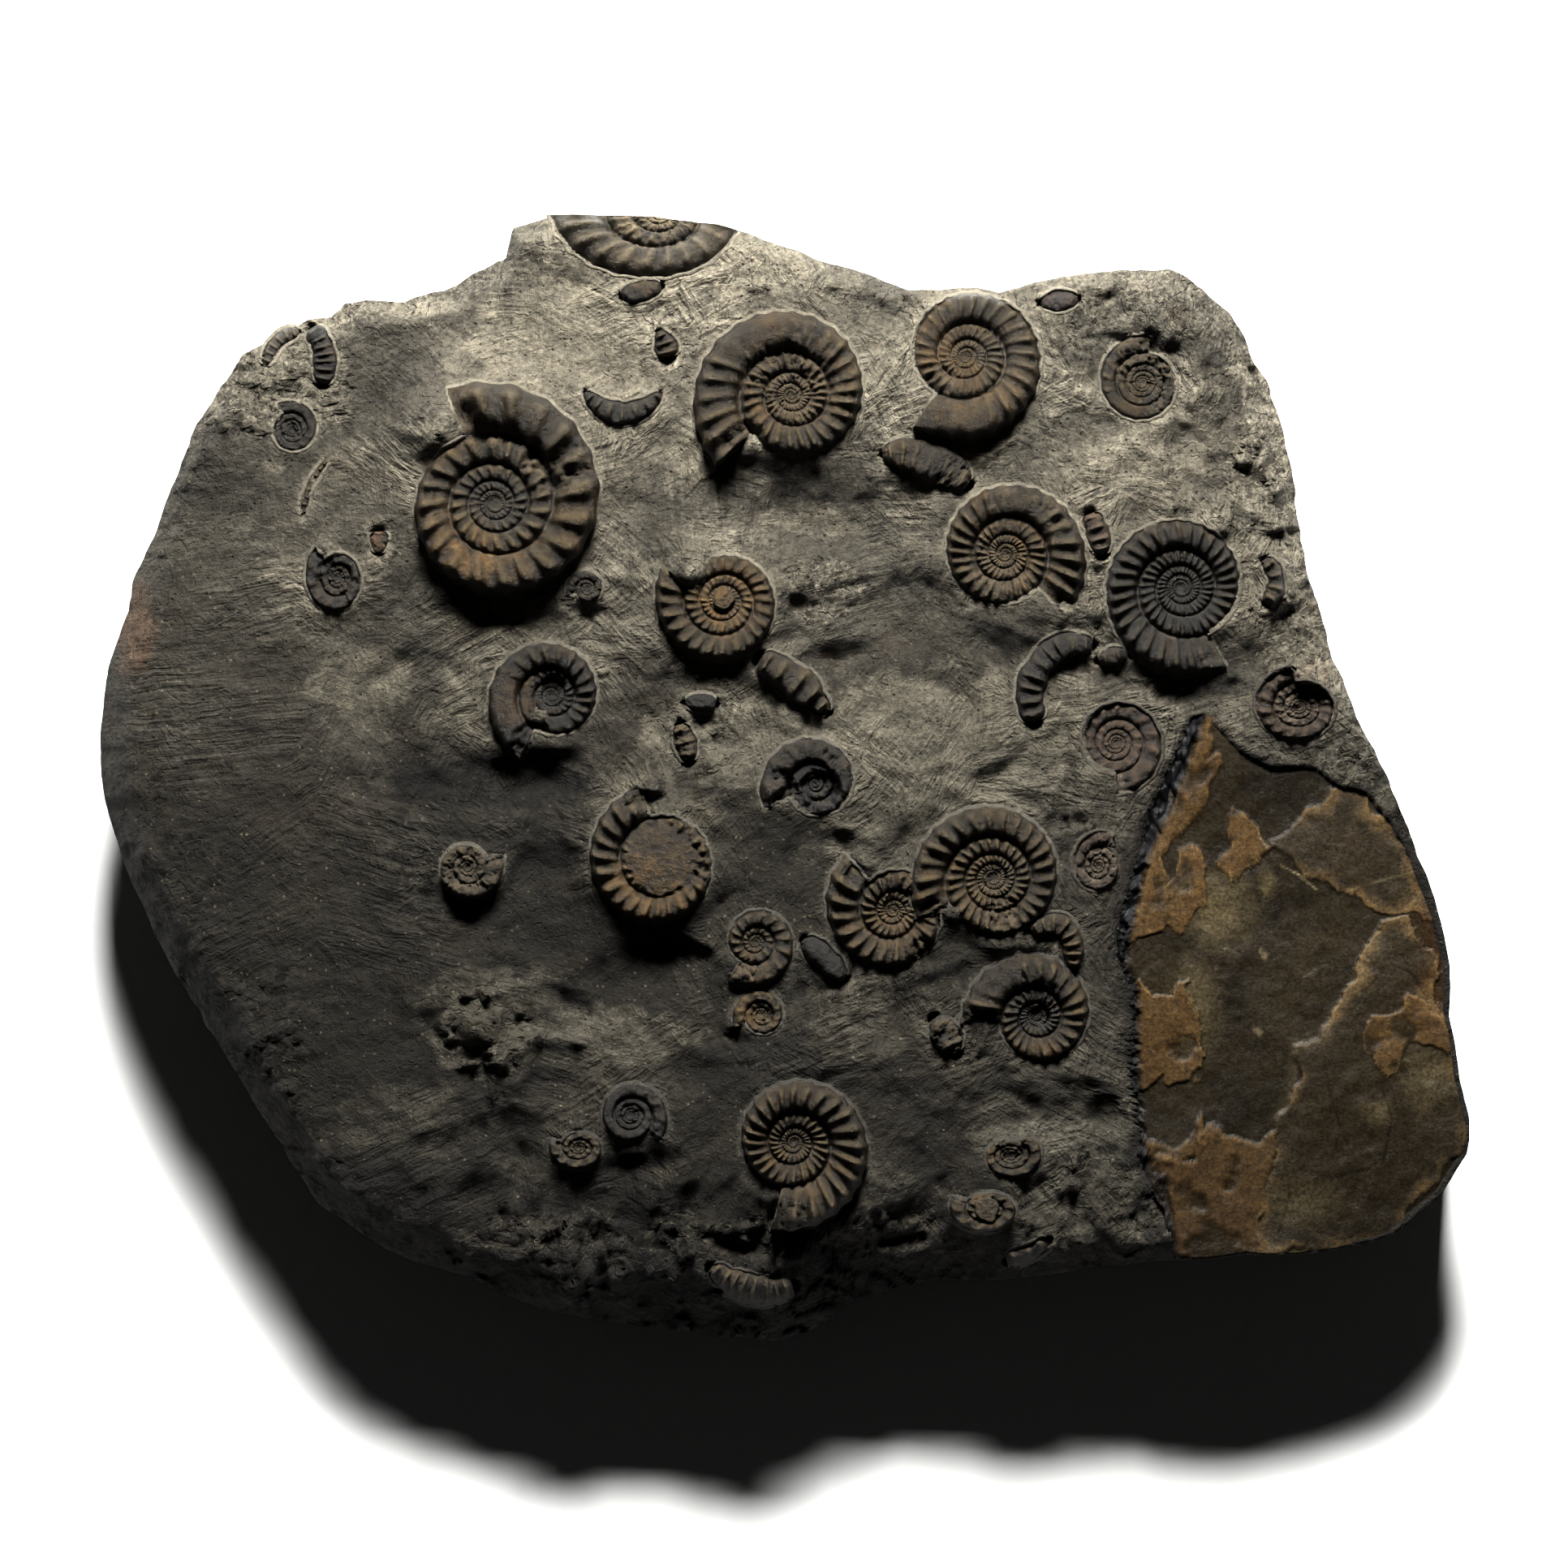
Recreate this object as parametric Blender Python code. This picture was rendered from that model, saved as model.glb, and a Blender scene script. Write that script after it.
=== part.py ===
# Ammonite cluster plate: a domed slab of dark limestone with ammonites standing on its top,
# and a sheet of brown calcite over its lower right part. It lies on its flat back.
# Metres, +Z up. The origin is on the flat back, under the middle of the slab.
# Shapes are worked out in millimetres and scaled as each mesh is made.
import math

import bmesh
import bpy
import numpy as np
from mathutils import Matrix, Vector, noise

# Driving dimensions
MM = 0.001
STEP = 0.17  # millimetres to one step of the plan grid; columns run right, rows run down
ORIGIN_COLUMN, ORIGIN_ROW = 966, 961
CROWN = 46.0  # bare rock at the middle of the slab
SAG_X, SAG_Y = 5.0, 9.0  # fall of the domed top at the left and right, and at the far and near edges
HALF_X, HALF_Y = 144.0, 119.0
WAIST = 0.5  # height of the side's middle ring, as a share of the edge height
BACK_INSET = 5.0  # how far the flat back stays inside the outline
GAP = 0.3  # clearance between pieces that touch
SEAT_DEPTH = 2.2  # how far a large fossil reaches into the rock
SMALL_SEAT_DEPTH = 1.6
CUTTER_HEIGHT = 25.0
RIM_RISE = 0.14  # height of a whorl's outer rim over the coil's middle plane, as a share of its width
CREST_RISE, RIB_RISE, FURROW_RISE = 0.45, 0.5, 0.4  # the same for a smooth crest, a rib and a furrow
CREST_PLACE = 0.44  # way in from the rim to the crest, as a share of the whorl's width
ROUGHNESS = 0.9  # height of the lumps on the broken margins
VEIN_THICKNESS = 3.0
FLAKE_THICKNESS = 0.8
RINGS = (0.22, 0.45, 0.66, 0.82, 0.93)  # rings of the top, as shares of the outline

# Outline of the slab, clockwise from its left end
OUTLINE = (
    (122, 940), (122, 895), (130, 822), (157, 752), (161, 717), (189, 658), (212, 591), (240, 525),
    (273, 463), (294, 438), (337, 411), (375, 388), (402, 387), (420, 367), (496, 369), (544, 352),
    (598, 328), (621, 315), (630, 278), (683, 263), (791, 262), (881, 277), (1002, 315), (1118, 355),
    (1233, 356), (1348, 334), (1443, 328), (1486, 354), (1528, 400), (1564, 469), (1587, 550),
    (1601, 634), (1623, 733), (1644, 814), (1674, 884), (1716, 971), (1747, 1051), (1771, 1116),
    (1788, 1189), (1788, 1252), (1800, 1330), (1815, 1393), (1810, 1422), (1776, 1475), (1713, 1526),
    (1631, 1545), (1534, 1547), (1422, 1557), (1340, 1565), (1273, 1579), (1152, 1579), (1098, 1595),
    (1046, 1611), (1004, 1641), (957, 1659), (886, 1652), (800, 1640), (683, 1620), (590, 1585),
    (487, 1548), (401, 1496), (349, 1427), (298, 1341), (243, 1248), (194, 1162), (149, 1064),
    (126, 978),
)
# Margin of the top: direction in degrees, width of the falling strip, fall, and share of roughness
MARGIN = (
    (0, 7, 4, 0.6), (27, 9, 5, 1.0), (45, 11, 6, 1.0), (60, 7, 4, 0.7), (90, 6, 5, 0.5),
    (115, 8, 5, 0.6), (133, 10, 6, 1.0), (150, 7, 5, 0.8), (165, 9, 7, 0.4), (175, 10, 9, 0.4),
    (200, 11, 11, 0.5), (225, 11, 11, 0.6), (245, 13, 11, 0.8), (258, 20, 13, 1.0),
    (275, 25, 15, 1.0), (290, 18, 13, 1.0), (300, 11, 9, 0.8), (315, 5, 3, 0.3), (345, 4, 2, 0.3),
)
# Line where the far margin broke through the last ammonite, in millimetres from its middle
BREAK_AT = (790, 262)
BREAK_LINE = ((-45, -1.5), (-18, -1.2), (1, -1.0), (16, -3.4), (45, -11))
BREAK_REACH = 40  # how far beyond that line the ammonite is cut away
# Swells and hollows of the top: column, row, radius in steps, rise in millimetres
SWELLS = (
    (611, 622, 190, 4.0), (975, 488, 160, 2.0), (891, 741, 115, 2.5), (812, 1058, 125, 2.5),
    (978, 1406, 130, 2.5), (578, 1068, 60, 2.0), (605, 1288, 70, 3.5), (1150, 850, 110, -2.5),
    (1430, 850, 80, -2.5), (430, 900, 130, -1.5), (1022, 730, 60, 2.0), (1330, 400, 90, 1.0),
)
# Ammonites: column and row of the middle, radius at the mouth in steps, direction of the mouth in
# degrees, turn (1 grows anticlockwise), growth of the radius in one whorl, ribs on the last whorl,
# height of the coil's middle plane over the rock as a share of the last whorl's width, and the
# share by which the coil is narrowed along X and along Y
AMMONITES = (
    ("ammonite_01", 611, 622, 152, 113, 1, 1.75, 20, 0.28, 1.0, 1.0),
    ("ammonite_02", 975, 488, 129, 224, 1, 1.90, 26, 0.12, 1.0, 1.0),
    ("ammonite_03", 1190, 439, 114, 235, -1, 1.92, 26, 0.08, 1.0, 1.0),
    ("ammonite_04", 1238, 683, 106, 315, -1, 1.87, 26, 0.05, 1.0, 1.0),
    ("ammonite_05", 1455, 724, 112, 299, 1, 1.73, 30, 0.00, 1.0, 1.0),
    ("ammonite_06", 891, 741, 86, 150, -1, 1.70, 24, 0.10, 1.0, 1.0),
    ("ammonite_07", 680, 858, 85, 243, 1, 1.90, 20, 0.05, 1.0, 1.0),
    ("ammonite_08", 1004, 966, 70, 205, 1, 2.10, 14, 0.05, 1.0, 1.0),
    ("ammonite_09", 813, 1061, 95, 103, -1, 1.75, 24, 0.12, 1.0, 1.0),
    ("ammonite_10", 1223, 1082, 105, 207, 1, 1.70, 26, 0.08, 1.0, 1.0),
    ("ammonite_11", 1100, 1121, 90, 130, -1, 2.00, 20, 0.00, 1.0, 1.0),
    ("ammonite_12", 1276, 1252, 93, 185, 1, 2.10, 22, 0.08, 1.0, 1.0),
    ("ammonite_13", 978, 1406, 110, 255, -1, 2.00, 24, 0.15, 1.0, 1.0),
    ("ammonite_14", 931, 1160, 58, 235, -1, 2.00, 14, 0.05, 1.0, 1.0),
    ("ammonite_15", 938, 1250, 36, 205, 1, 1.80, 10, 0.10, 1.0, 1.0),
    ("ammonite_16", 778, 1373, 47, 325, -1, 1.70, 12, 0.30, 1.0, 1.0),
    ("ammonite_17", 714, 1413, 38, 160, -1, 1.80, 10, 0.20, 1.0, 0.80),
    ("ammonite_18", 1244, 1423, 41, 60, 1, 1.60, 10, 0.30, 1.0, 0.76),
    ("ammonite_19", 1216, 1488, 48, 150, -1, 1.80, 10, 0.25, 1.0, 0.70),
    ("ammonite_20", 417, 713, 50, 130, -1, 1.80, 12, 0.00, 0.84, 1.0),
    ("ammonite_21", 361, 530, 36, 120, 1, 1.70, 10, 0.05, 1.0, 1.0),
    ("ammonite_22", 578, 1068, 44, 20, 1, 1.90, 8, 0.30, 1.0, 1.0),
    ("ammonite_23", 724, 726, 26, 200, 1, 1.90, 6, 0.10, 1.0, 1.0),
    ("ammonite_24", 1376, 914, 64, 270, -1, 1.70, 14, -0.05, 1.0, 1.0),
    ("ammonite_25", 1602, 871, 62, 100, -1, 1.70, 16, -0.15, 1.0, 0.84),
    ("ammonite_26", 1407, 472, 59, 80, -1, 1.60, 14, -0.10, 1.0, 1.0),
    ("ammonite_27", 1353, 1066, 43, 60, -1, 1.80, 10, -0.10, 0.9, 1.0),
    ("ammonite_28", 813, 262, 136, 178, -1, 2.00, 26, -0.12, 1.0, 0.73),
)
# Lengths of whorl and shell: rise in millimetres, ribs, and places of the middle line with the
# half width there, in steps
FRAGMENTS = (
    ("whorl_piece_01", 3.0, 6,
     ((721, 485, 6), (741, 505, 12), (769, 513, 14), (797, 503, 12), (815, 486, 6))),
    ("whorl_piece_02", 3.5, 7,
     ((1087, 561, 8), (1110, 559, 18), (1140, 566, 21), (1171, 580, 22), (1192, 598, 12))),
    ("whorl_piece_03", 3.0, 9,
     ((1345, 796, 10), (1306, 794, 15), (1277, 821, 17), (1265, 856, 17), (1274, 889, 13))),
    ("whorl_piece_04", 4.5, 5, ((937, 813, 14), (968, 832, 20), (998, 855, 20), (1020, 879, 9))),
    ("whorl_piece_05", 3.0, 7,
     ((1270, 1147, 6), (1288, 1138, 14), (1308, 1139, 15), (1320, 1156, 13), (1322, 1178, 12),
      (1320, 1191, 7))),
    ("whorl_piece_06", 4.0, 0, ((990, 1157, 9), (1005, 1171, 16), (1024, 1189, 17), (1040, 1205, 10))),
    ("whorl_piece_07", 2.5, 6, ((385, 404, 11), (398, 425, 15), (402, 450, 14), (398, 474, 10))),
    ("whorl_piece_08", 2.0, 5, ((327, 450, 6), (335, 428, 9), (350, 413, 9), (368, 408, 6))),
    ("whorl_piece_09", 3.0, 0, ((766, 366, 8), (790, 360, 13), (815, 354, 8))),
    ("whorl_piece_10", 3.0, 3, ((812, 409, 6), (820, 425, 14), (824, 441, 12))),
    ("whorl_piece_11", 3.0, 0, ((845, 866, 8), (862, 865, 12), (882, 868, 9))),
    ("whorl_piece_12", 3.0, 2, ((1353, 815, 8), (1370, 810, 13), (1388, 806, 8))),
    ("whorl_piece_13", 3.0, 3, ((1342, 634, 11), (1352, 658, 17), (1358, 684, 10))),
    ("whorl_piece_14", 3.0, 3, ((1556, 690, 8), (1570, 705, 11), (1572, 727, 11), (1558, 744, 8))),
    ("whorl_piece_15", 3.0, 2, ((1150, 1255, 12), (1165, 1275, 20), (1178, 1296, 12))),
    ("whorl_piece_16", 3.0, 7, ((876, 1562, 11), (908, 1584, 17), (945, 1594, 17), (976, 1584, 11))),
    ("whorl_piece_17", 2.5, 3, ((1240, 1553, 8), (1267, 1545, 11), (1292, 1528, 8))),
    ("whorl_piece_18", 3.0, 3, ((838, 893, 10), (845, 915, 15), (850, 938, 10))),
    ("bivalve_shell", 3.0, 0, ((1282, 374, 8), (1305, 371, 16), (1328, 369, 8))),
    ("shell_piece", 1.2, 0, ((468, 656, 10), (469, 669, 12), (468, 682, 8))),
    ("ribbed_strip", 1.2, 3, ((404, 568, 3), (386, 593, 4), (378, 612, 5), (375, 636, 4))),
)
# Pairs where the first piece runs under the second and is cut short by it
TRIMS = (
    ("ammonite_11", "ammonite_10"), ("whorl_piece_05", "ammonite_10"), ("whorl_piece_05", "ammonite_12"),
    ("ammonite_15", "ammonite_14"), ("whorl_piece_06", "ammonite_11"), ("whorl_piece_13", "ammonite_04"),
    ("ammonite_10", "ammonite_12"), ("ammonite_17", "ammonite_16"), ("ammonite_19", "ammonite_18"),
    ("whorl_piece_12", "whorl_piece_03"), ("whorl_piece_07", "whorl_piece_08"),
)
# Calcite sheet: its border on the plan grid, from the top of its left side round clockwise
VEIN_BORDER = (
    (1485, 874), (1500, 892), (1534, 924), (1563, 940), (1621, 940), (1650, 964), (1684, 972),
    (1712, 1008), (1739, 1056), (1763, 1120), (1780, 1190), (1781, 1254), (1792, 1332), (1806, 1393),
    (1801, 1420), (1770, 1469), (1710, 1518), (1630, 1537), (1534, 1539), (1452, 1545), (1434, 1490),
    (1404, 1446), (1398, 1402), (1388, 1325), (1388, 1218), (1366, 1179), (1372, 1131), (1390, 1070),
    (1408, 1000), (1440, 930), (1462, 880),
)
# Height of the sheet's face at its middle left, and its fall to the right and to the near side
VEIN_PLACE, VEIN_HEIGHT, VEIN_FALL_X, VEIN_FALL_Y = (1378, 1250), 40.5, 0.105, 0.02
# Upper layers of the sheet that remain
FLAKES = (
    ((1480, 886), (1450, 985), (1402, 1110), (1382, 1166), (1392, 1172), (1425, 1100), (1466, 985),
     (1488, 900)),
    ((1394, 1212), (1440, 1206), (1482, 1218), (1472, 1262), (1428, 1322), (1396, 1318)),
    ((1406, 1414), (1490, 1392), (1552, 1412), (1574, 1392), (1548, 1485), (1524, 1530), (1462, 1536),
     (1440, 1470)),
    ((1600, 1372), (1612, 1296), (1646, 1270), (1684, 1182), (1706, 1140), (1742, 1140), (1766, 1176),
     (1770, 1230), (1742, 1226), (1690, 1254), (1680, 1300), (1700, 1372), (1640, 1400)),
)


def plan(column, row):
    """Millimetres right of and beyond the origin, for a place on the plan grid."""
    return (column - ORIGIN_COLUMN) * STEP, (ORIGIN_ROW - row) * STEP


def direction(x, y):
    return math.degrees(math.atan2(y, x)) % 360


corners = sorted((direction(x, y), x, y) for x, y in (plan(*place) for place in OUTLINE))
corner_angles = [angle for angle, x, y in corners]
corner_reaches = [math.hypot(x, y) for angle, x, y in corners]


def margin(x, y):
    """Distance inside the outline, then width, fall and roughness of the margin there."""
    angle = direction(x, y)
    inset = np.interp(angle, corner_angles, corner_reaches, period=360) - math.hypot(x, y)
    angles, widths, falls, shares = zip(*MARGIN)
    return (max(0.0, float(inset)),) + tuple(
        float(np.interp(angle, angles, values, period=360)) for values in (widths, falls, shares)
    )


def ground(x, y):
    """Height of the rock's top."""
    inset, width, fall, _ = margin(x, y)
    height = CROWN - SAG_X * (x / HALF_X) ** 2 - SAG_Y * (y / HALF_Y) ** 2
    height -= fall * max(0.0, 1 - inset / width) ** 1.5
    for column, row, radius, rise in SWELLS:
        swell_x, swell_y = plan(column, row)
        height += rise * math.exp(-((x - swell_x) ** 2 + (y - swell_y) ** 2) / (radius * STEP) ** 2)
    return height


def rough_ground(x, y):
    """The top with the lumps of its broken margins."""
    inset, width, _, share = margin(x, y)
    near_edge = max(0.0, 1 - inset / (2.2 * width))
    lumps = noise.noise(Vector((x * 0.13, y * 0.13, 4.0)))
    return ground(x, y) + ROUGHNESS * share * min(1.0, 2 * near_edge) * 2 * lumps


def vein_face(x, y):
    """Height of the calcite sheet's face."""
    left_x, left_y = plan(*VEIN_PLACE)
    return VEIN_HEIGHT - VEIN_FALL_X * (x - left_x) + VEIN_FALL_Y * (y - left_y)


def seat(x, y, reach):
    """Frame of a fossil that lies on the rock: its Z is square to the slope under it."""
    slope_x = (ground(x + reach, y) - ground(x - reach, y)) / (2 * reach)
    slope_y = (ground(x, y + reach) - ground(x, y - reach)) / (2 * reach)
    up = Vector((-slope_x, -slope_y, 1)).normalized()
    level = (ground(x + reach, y) + ground(x - reach, y) + ground(x, y + reach) + ground(x, y - reach)) / 4
    turned = Vector((0, 0, 1)).rotation_difference(up).to_matrix().to_4x4()
    return Matrix.Translation((x, y, level)) @ turned


def add_object(name, points, faces, colour, frame=None, helper=False):
    """Makes a mesh object, its outside facing out, from points in millimetres."""
    mesh = bpy.data.meshes.new(name)
    frame = frame or Matrix.Identity(4)
    mesh.from_pydata([(frame @ Vector(point)) * MM for point in points], [], faces)
    shell = bmesh.new()
    shell.from_mesh(mesh)
    bmesh.ops.recalc_face_normals(shell, faces=shell.faces)
    shell.to_mesh(mesh)
    shell.free()
    obj = bpy.data.objects.new(name, mesh)
    if helper:
        obj.hide_render = True
        obj.display_type = "WIRE"
        pockets.objects.link(obj)
        return obj
    bpy.context.scene.collection.objects.link(obj)
    material = bpy.data.materials.new(name + "_stone")
    material.use_nodes = True
    shader = material.node_tree.nodes["Principled BSDF"]
    shader.inputs["Base Color"].default_value = (*colour, 1)
    shader.inputs["Roughness"].default_value = 0.6
    mesh.materials.append(material)
    return obj


def cut(obj, cutter, operation="DIFFERENCE"):
    boolean = obj.modifiers.new(cutter.name, "BOOLEAN")
    boolean.operation = operation
    boolean.solver = "EXACT"
    boolean.object = cutter


def prism(border, floor, roof):
    """Points and faces of an upright prism; floor and roof are lists of heights, one to a corner."""
    count = len(border)
    points = [(*place, height) for place, height in zip(border, floor)]
    points += [(*place, height) for place, height in zip(border, roof)]
    faces = [tuple(range(count)), tuple(range(count, 2 * count))]
    faces += [(i, (i + 1) % count, count + (i + 1) % count, count + i) for i in range(count)]
    return points, faces


def zipped(first, first_at, second, second_at):
    """Triangles between two rows of points with their own spacings along the same length."""
    faces = []
    i = j = 0
    while i < len(first) - 1 or j < len(second) - 1:
        if j == len(second) - 1 or (i < len(first) - 1 and first_at[i + 1] <= second_at[j + 1]):
            faces.append((first[i], first[i + 1], second[j]))
            i += 1
        else:
            faces.append((first[i], second[j + 1], second[j]))
            j += 1
    return faces


def add_pocket(name, border, depth, frame):
    count = len(border)
    points, faces = prism(border, [-depth - GAP] * count, [CUTTER_HEIGHT] * count)
    return add_object("pocket_" + name, points, faces, None, frame, helper=True)


def add_ammonite(name, column, row, radius, mouth, turn, growth, ribs, lift, share_x, share_y):
    """A coil whose rows of points run by the angle behind the mouth: rims, crests, foot of the wall."""
    x, y = plan(column, row)
    radius *= STEP
    frame = seat(x, y, 0.7 * radius)
    width_share = 1 - 1 / growth
    middle = lift * radius * width_share
    large = radius > 9
    depth = SEAT_DEPTH if large else SMALL_SEAT_DEPTH
    rim_counts = (14 if radius > 15 else 12, 9, 6) if large else (9, 6)
    points, faces = [], []

    def reach_at(behind):
        return radius * growth ** (behind / 360)

    def lay(behind, inward, height):
        """Adds a point, placed by shares of the whorl's width there, and gives its number."""
        section = reach_at(behind) * width_share
        reach = reach_at(behind) - inward * section
        angle = math.radians(mouth + turn * behind)
        right, far = reach * math.cos(angle) * share_x, reach * math.sin(angle) * share_y
        points.append((right, far, middle + height * section))
        return len(points) - 1

    rims, crests = [], []
    for whorl, count in enumerate(rim_counts):
        angles = np.linspace(-360 * (whorl + 1), -360 * whorl, count + 1)
        numbers = [lay(behind, 0, RIM_RISE) for behind in angles[:-1]]
        numbers.append(rims[-1][1][0] if rims else lay(0, 0, RIM_RISE))
        rims.append((angles, numbers))
    for whorl in range(len(rims) - 1):
        angles = rims[whorl][0] if whorl else np.linspace(-360, 0, 2 * ribs + 1)
        ribbed = [RIB_RISE if index % 2 else FURROW_RISE for index in range(len(angles))]
        ridges = [CREST_RISE] * len(angles) if whorl else ribbed
        numbers = [lay(behind, CREST_PLACE, ridge) for behind, ridge in zip(angles[:-1], ridges)]
        numbers.append(crests[-1][1][0] if crests else lay(0, CREST_PLACE, ridges[-1]))
        crests.append((angles, numbers))
    for (rim_at, rim), (crest_at, crest), (inner_at, inner) in zip(rims, crests, rims[1:]):
        faces += zipped(rim, rim_at, crest, crest_at)
        faces += zipped(crest, crest_at, inner, inner_at + 360)
    ring = rims[-1][1] + [crests[-1][1][0]]
    hub = len(points)
    points.append((0, 0, middle))
    faces += [(a, b, hub) for a, b in zip(ring, ring[1:] + ring[:1])]
    rim = rims[0][1]
    foot = list(range(len(points), len(points) + len(rim)))
    points += [(*points[number][:2], -depth) for number in rim]
    faces += [(rim[i], rim[i + 1], foot[i + 1], foot[i]) for i in range(len(rim) - 1)]
    faces += [tuple(foot), (foot[-1], rim[-1], crests[0][1][-1], rim[0], foot[0])]
    past = math.degrees(1.5 * GAP / radius)
    border = []
    for behind, reach in [(angle, reach_at(angle)) for angle in rims[0][0][1:-1]] + [
        (past, radius), (past, radius / growth)
    ]:
        angle = math.radians(mouth + turn * behind)
        reach += 1.3 * GAP / min(share_x, share_y)
        border.append((reach * math.cos(angle) * share_x, reach * math.sin(angle) * share_y))
    add_pocket(name, border, depth, frame)
    return add_object(name, points, faces, FOSSIL_BROWN, frame)


def add_fragment(name, rise, ribs, path):
    """A ridge of shell along a middle line, ribbed across, with a flat base in the rock."""
    places = np.array([plan(column, row) for column, row, _ in path])
    halves = np.array([half * STEP for _, _, half in path])
    x, y = places.mean(axis=0)
    frame = seat(x, y, 4.0)
    places = places - (x, y)
    along = np.concatenate([[0], np.cumsum(np.hypot(*np.diff(places, axis=0).T))])
    count = 2 * ribs + 1 if ribs else 6
    at = np.linspace(0, along[-1], count)
    middle = np.column_stack([np.interp(at, along, places[:, axis]) for axis in (0, 1)])
    half = np.interp(at, along, halves)
    forward = np.gradient(middle, axis=0)
    forward /= np.hypot(*forward.T)[:, None]
    side = np.column_stack([-forward[:, 1], forward[:, 0]])
    depth = SMALL_SEAT_DEPTH
    points, faces = [], []
    for index in range(count):
        ridge = 0.45 if index in (0, count - 1) else 1.0 if index % 2 or not ribs else 0.75
        for share, height in ((-1, -depth), (-0.5, rise * ridge), (0.5, rise * ridge), (1, -depth)):
            points.append((*(middle[index] + side[index] * half[index] * share), height))
    for index in range(count - 1):
        a = 4 * index
        faces += [(a + k, a + (k + 1) % 4, a + 4 + (k + 1) % 4, a + 4 + k) for k in range(4)]
    last = 4 * (count - 1)
    faces += [(0, 1, 2, 3), (last, last + 1, last + 2, last + 3)]
    bends = [int(np.abs(at - place).argmin()) for place in along]
    edge = half + 2.2 * GAP
    ends = np.zeros_like(middle)
    ends[0], ends[-1] = -1.2 * GAP * forward[0], 1.2 * GAP * forward[-1]
    left, right = (middle + ends + way * side * edge[:, None] for way in (-1, 1))
    border = [tuple(left[i]) for i in bends] + [tuple(right[i]) for i in reversed(bends)]
    add_pocket(name, border, depth, frame)
    return add_object(name, points, faces, FOSSIL_BROWN, frame)


for old in list(bpy.data.objects):
    bpy.data.objects.remove(old)
pockets = bpy.data.collections.new("pockets")
bpy.context.scene.collection.children.link(pockets)
ROCK_GREY = (0.10, 0.095, 0.085)
FOSSIL_BROWN = (0.085, 0.066, 0.048)
CALCITE_BROWN = (0.07, 0.045, 0.025)

# Fossils, each in its own pocket
pieces = {row[0]: add_ammonite(*row) for row in AMMONITES}
pieces.update({row[0]: add_fragment(*row) for row in FRAGMENTS})
for lower, upper in TRIMS:
    cut(pieces[lower], bpy.data.objects["pocket_" + upper])

# Slab of limestone: rings of the top from the middle out, then the side, then the flat back
points, faces = [(0, 0, rough_ground(0, 0))], []
outline = [(x, y) for _, x, y in corners]
count = len(outline)
for share in RINGS:
    points += [(x * share, y * share, rough_ground(x * share, y * share)) for x, y in outline]
edge_heights = [rough_ground(x * 0.999, y * 0.999) for x, y in outline]
points += [(x, y, height) for (x, y), height in zip(outline, edge_heights)]
for index, ((x, y), height) in enumerate(zip(outline, edge_heights)):
    inward = 1 - 0.012 * (1 + noise.noise(Vector((x * 0.05, y * 0.05, 9.0))))
    points.append((x * inward, y * inward, height * WAIST))
for x, y in outline:
    inward = 1 - BACK_INSET / math.hypot(x, y)
    points.append((x * inward, y * inward, 0))
faces += [(0, 1 + i, 1 + (i + 1) % count) for i in range(count)]
for ring in range(len(RINGS) + 2):
    inner, outer = 1 + ring * count, 1 + (ring + 1) * count
    for i in range(count):
        after = (i + 1) % count
        faces += [(inner + i, outer + i, outer + after), (inner + i, outer + after, inner + after)]
faces.append(tuple(range(len(points) - count, len(points))))
slab = add_object("matrix_slab", points, faces, ROCK_GREY)

# Rebate for the calcite sheet, open at the slab's side
border = []
for column, row in VEIN_BORDER:
    x, y = plan(column, row)
    middle_x, middle_y = plan(1580, 1220)
    away = Vector((x - middle_x, y - middle_y)).normalized()
    grow = 12.0 if margin(x, y)[0] < 3.0 else 1.6 * GAP
    border.append((x + away.x * grow, y + away.y * grow))
floor = [vein_face(x, y) - VEIN_THICKNESS - GAP for x, y in border]
roof = [CROWN + CUTTER_HEIGHT] * len(border)
add_object("pocket_calcite_vein", *prism(border, floor, roof), None, helper=True)

# The ammonite on the far margin, broken off along the outline
x, y = plan(*BREAK_AT)
beyond = [(x + right, y + far) for right, far in BREAK_LINE]
beyond += [(x + BREAK_LINE[-1][0], y + BREAK_REACH), (x + BREAK_LINE[0][0], y + BREAK_REACH)]
roof = [CROWN + CUTTER_HEIGHT] * len(beyond)
edge_break = add_object("edge_break", *prism(beyond, [0] * len(beyond), roof), None, helper=True)
pockets.objects.unlink(edge_break)
cut(pieces["ammonite_28"], edge_break)

hollows = slab.modifiers.new("hollows", "BOOLEAN")
hollows.operation = "DIFFERENCE"
hollows.solver = "EXACT"
hollows.operand_type = "COLLECTION"
hollows.collection = pockets

# Calcite sheet with what is left of its upper layers
border = [plan(*place) for place in VEIN_BORDER]
roof = [vein_face(x, y) for x, y in border]
vein = add_object(
    "calcite_vein", *prism(border, [height - VEIN_THICKNESS for height in roof], roof), CALCITE_BROWN
)
layers = bpy.data.collections.new("layers")
bpy.context.scene.collection.children.link(layers)
for index, flake in enumerate(FLAKES):
    border = [plan(*place) for place in flake]
    faces_at = [vein_face(x, y) for x, y in border]
    under = [height - 1 for height in faces_at]
    over = [height + FLAKE_THICKNESS for height in faces_at]
    layer = add_object(f"layer_{index + 1}", *prism(border, under, over), None, helper=True)
    pockets.objects.unlink(layer)
    layers.objects.link(layer)
    cut(vein, layer, "UNION")
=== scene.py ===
import math

import bmesh
import bpy
import numpy as np
from mathutils import Matrix, Vector


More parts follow.
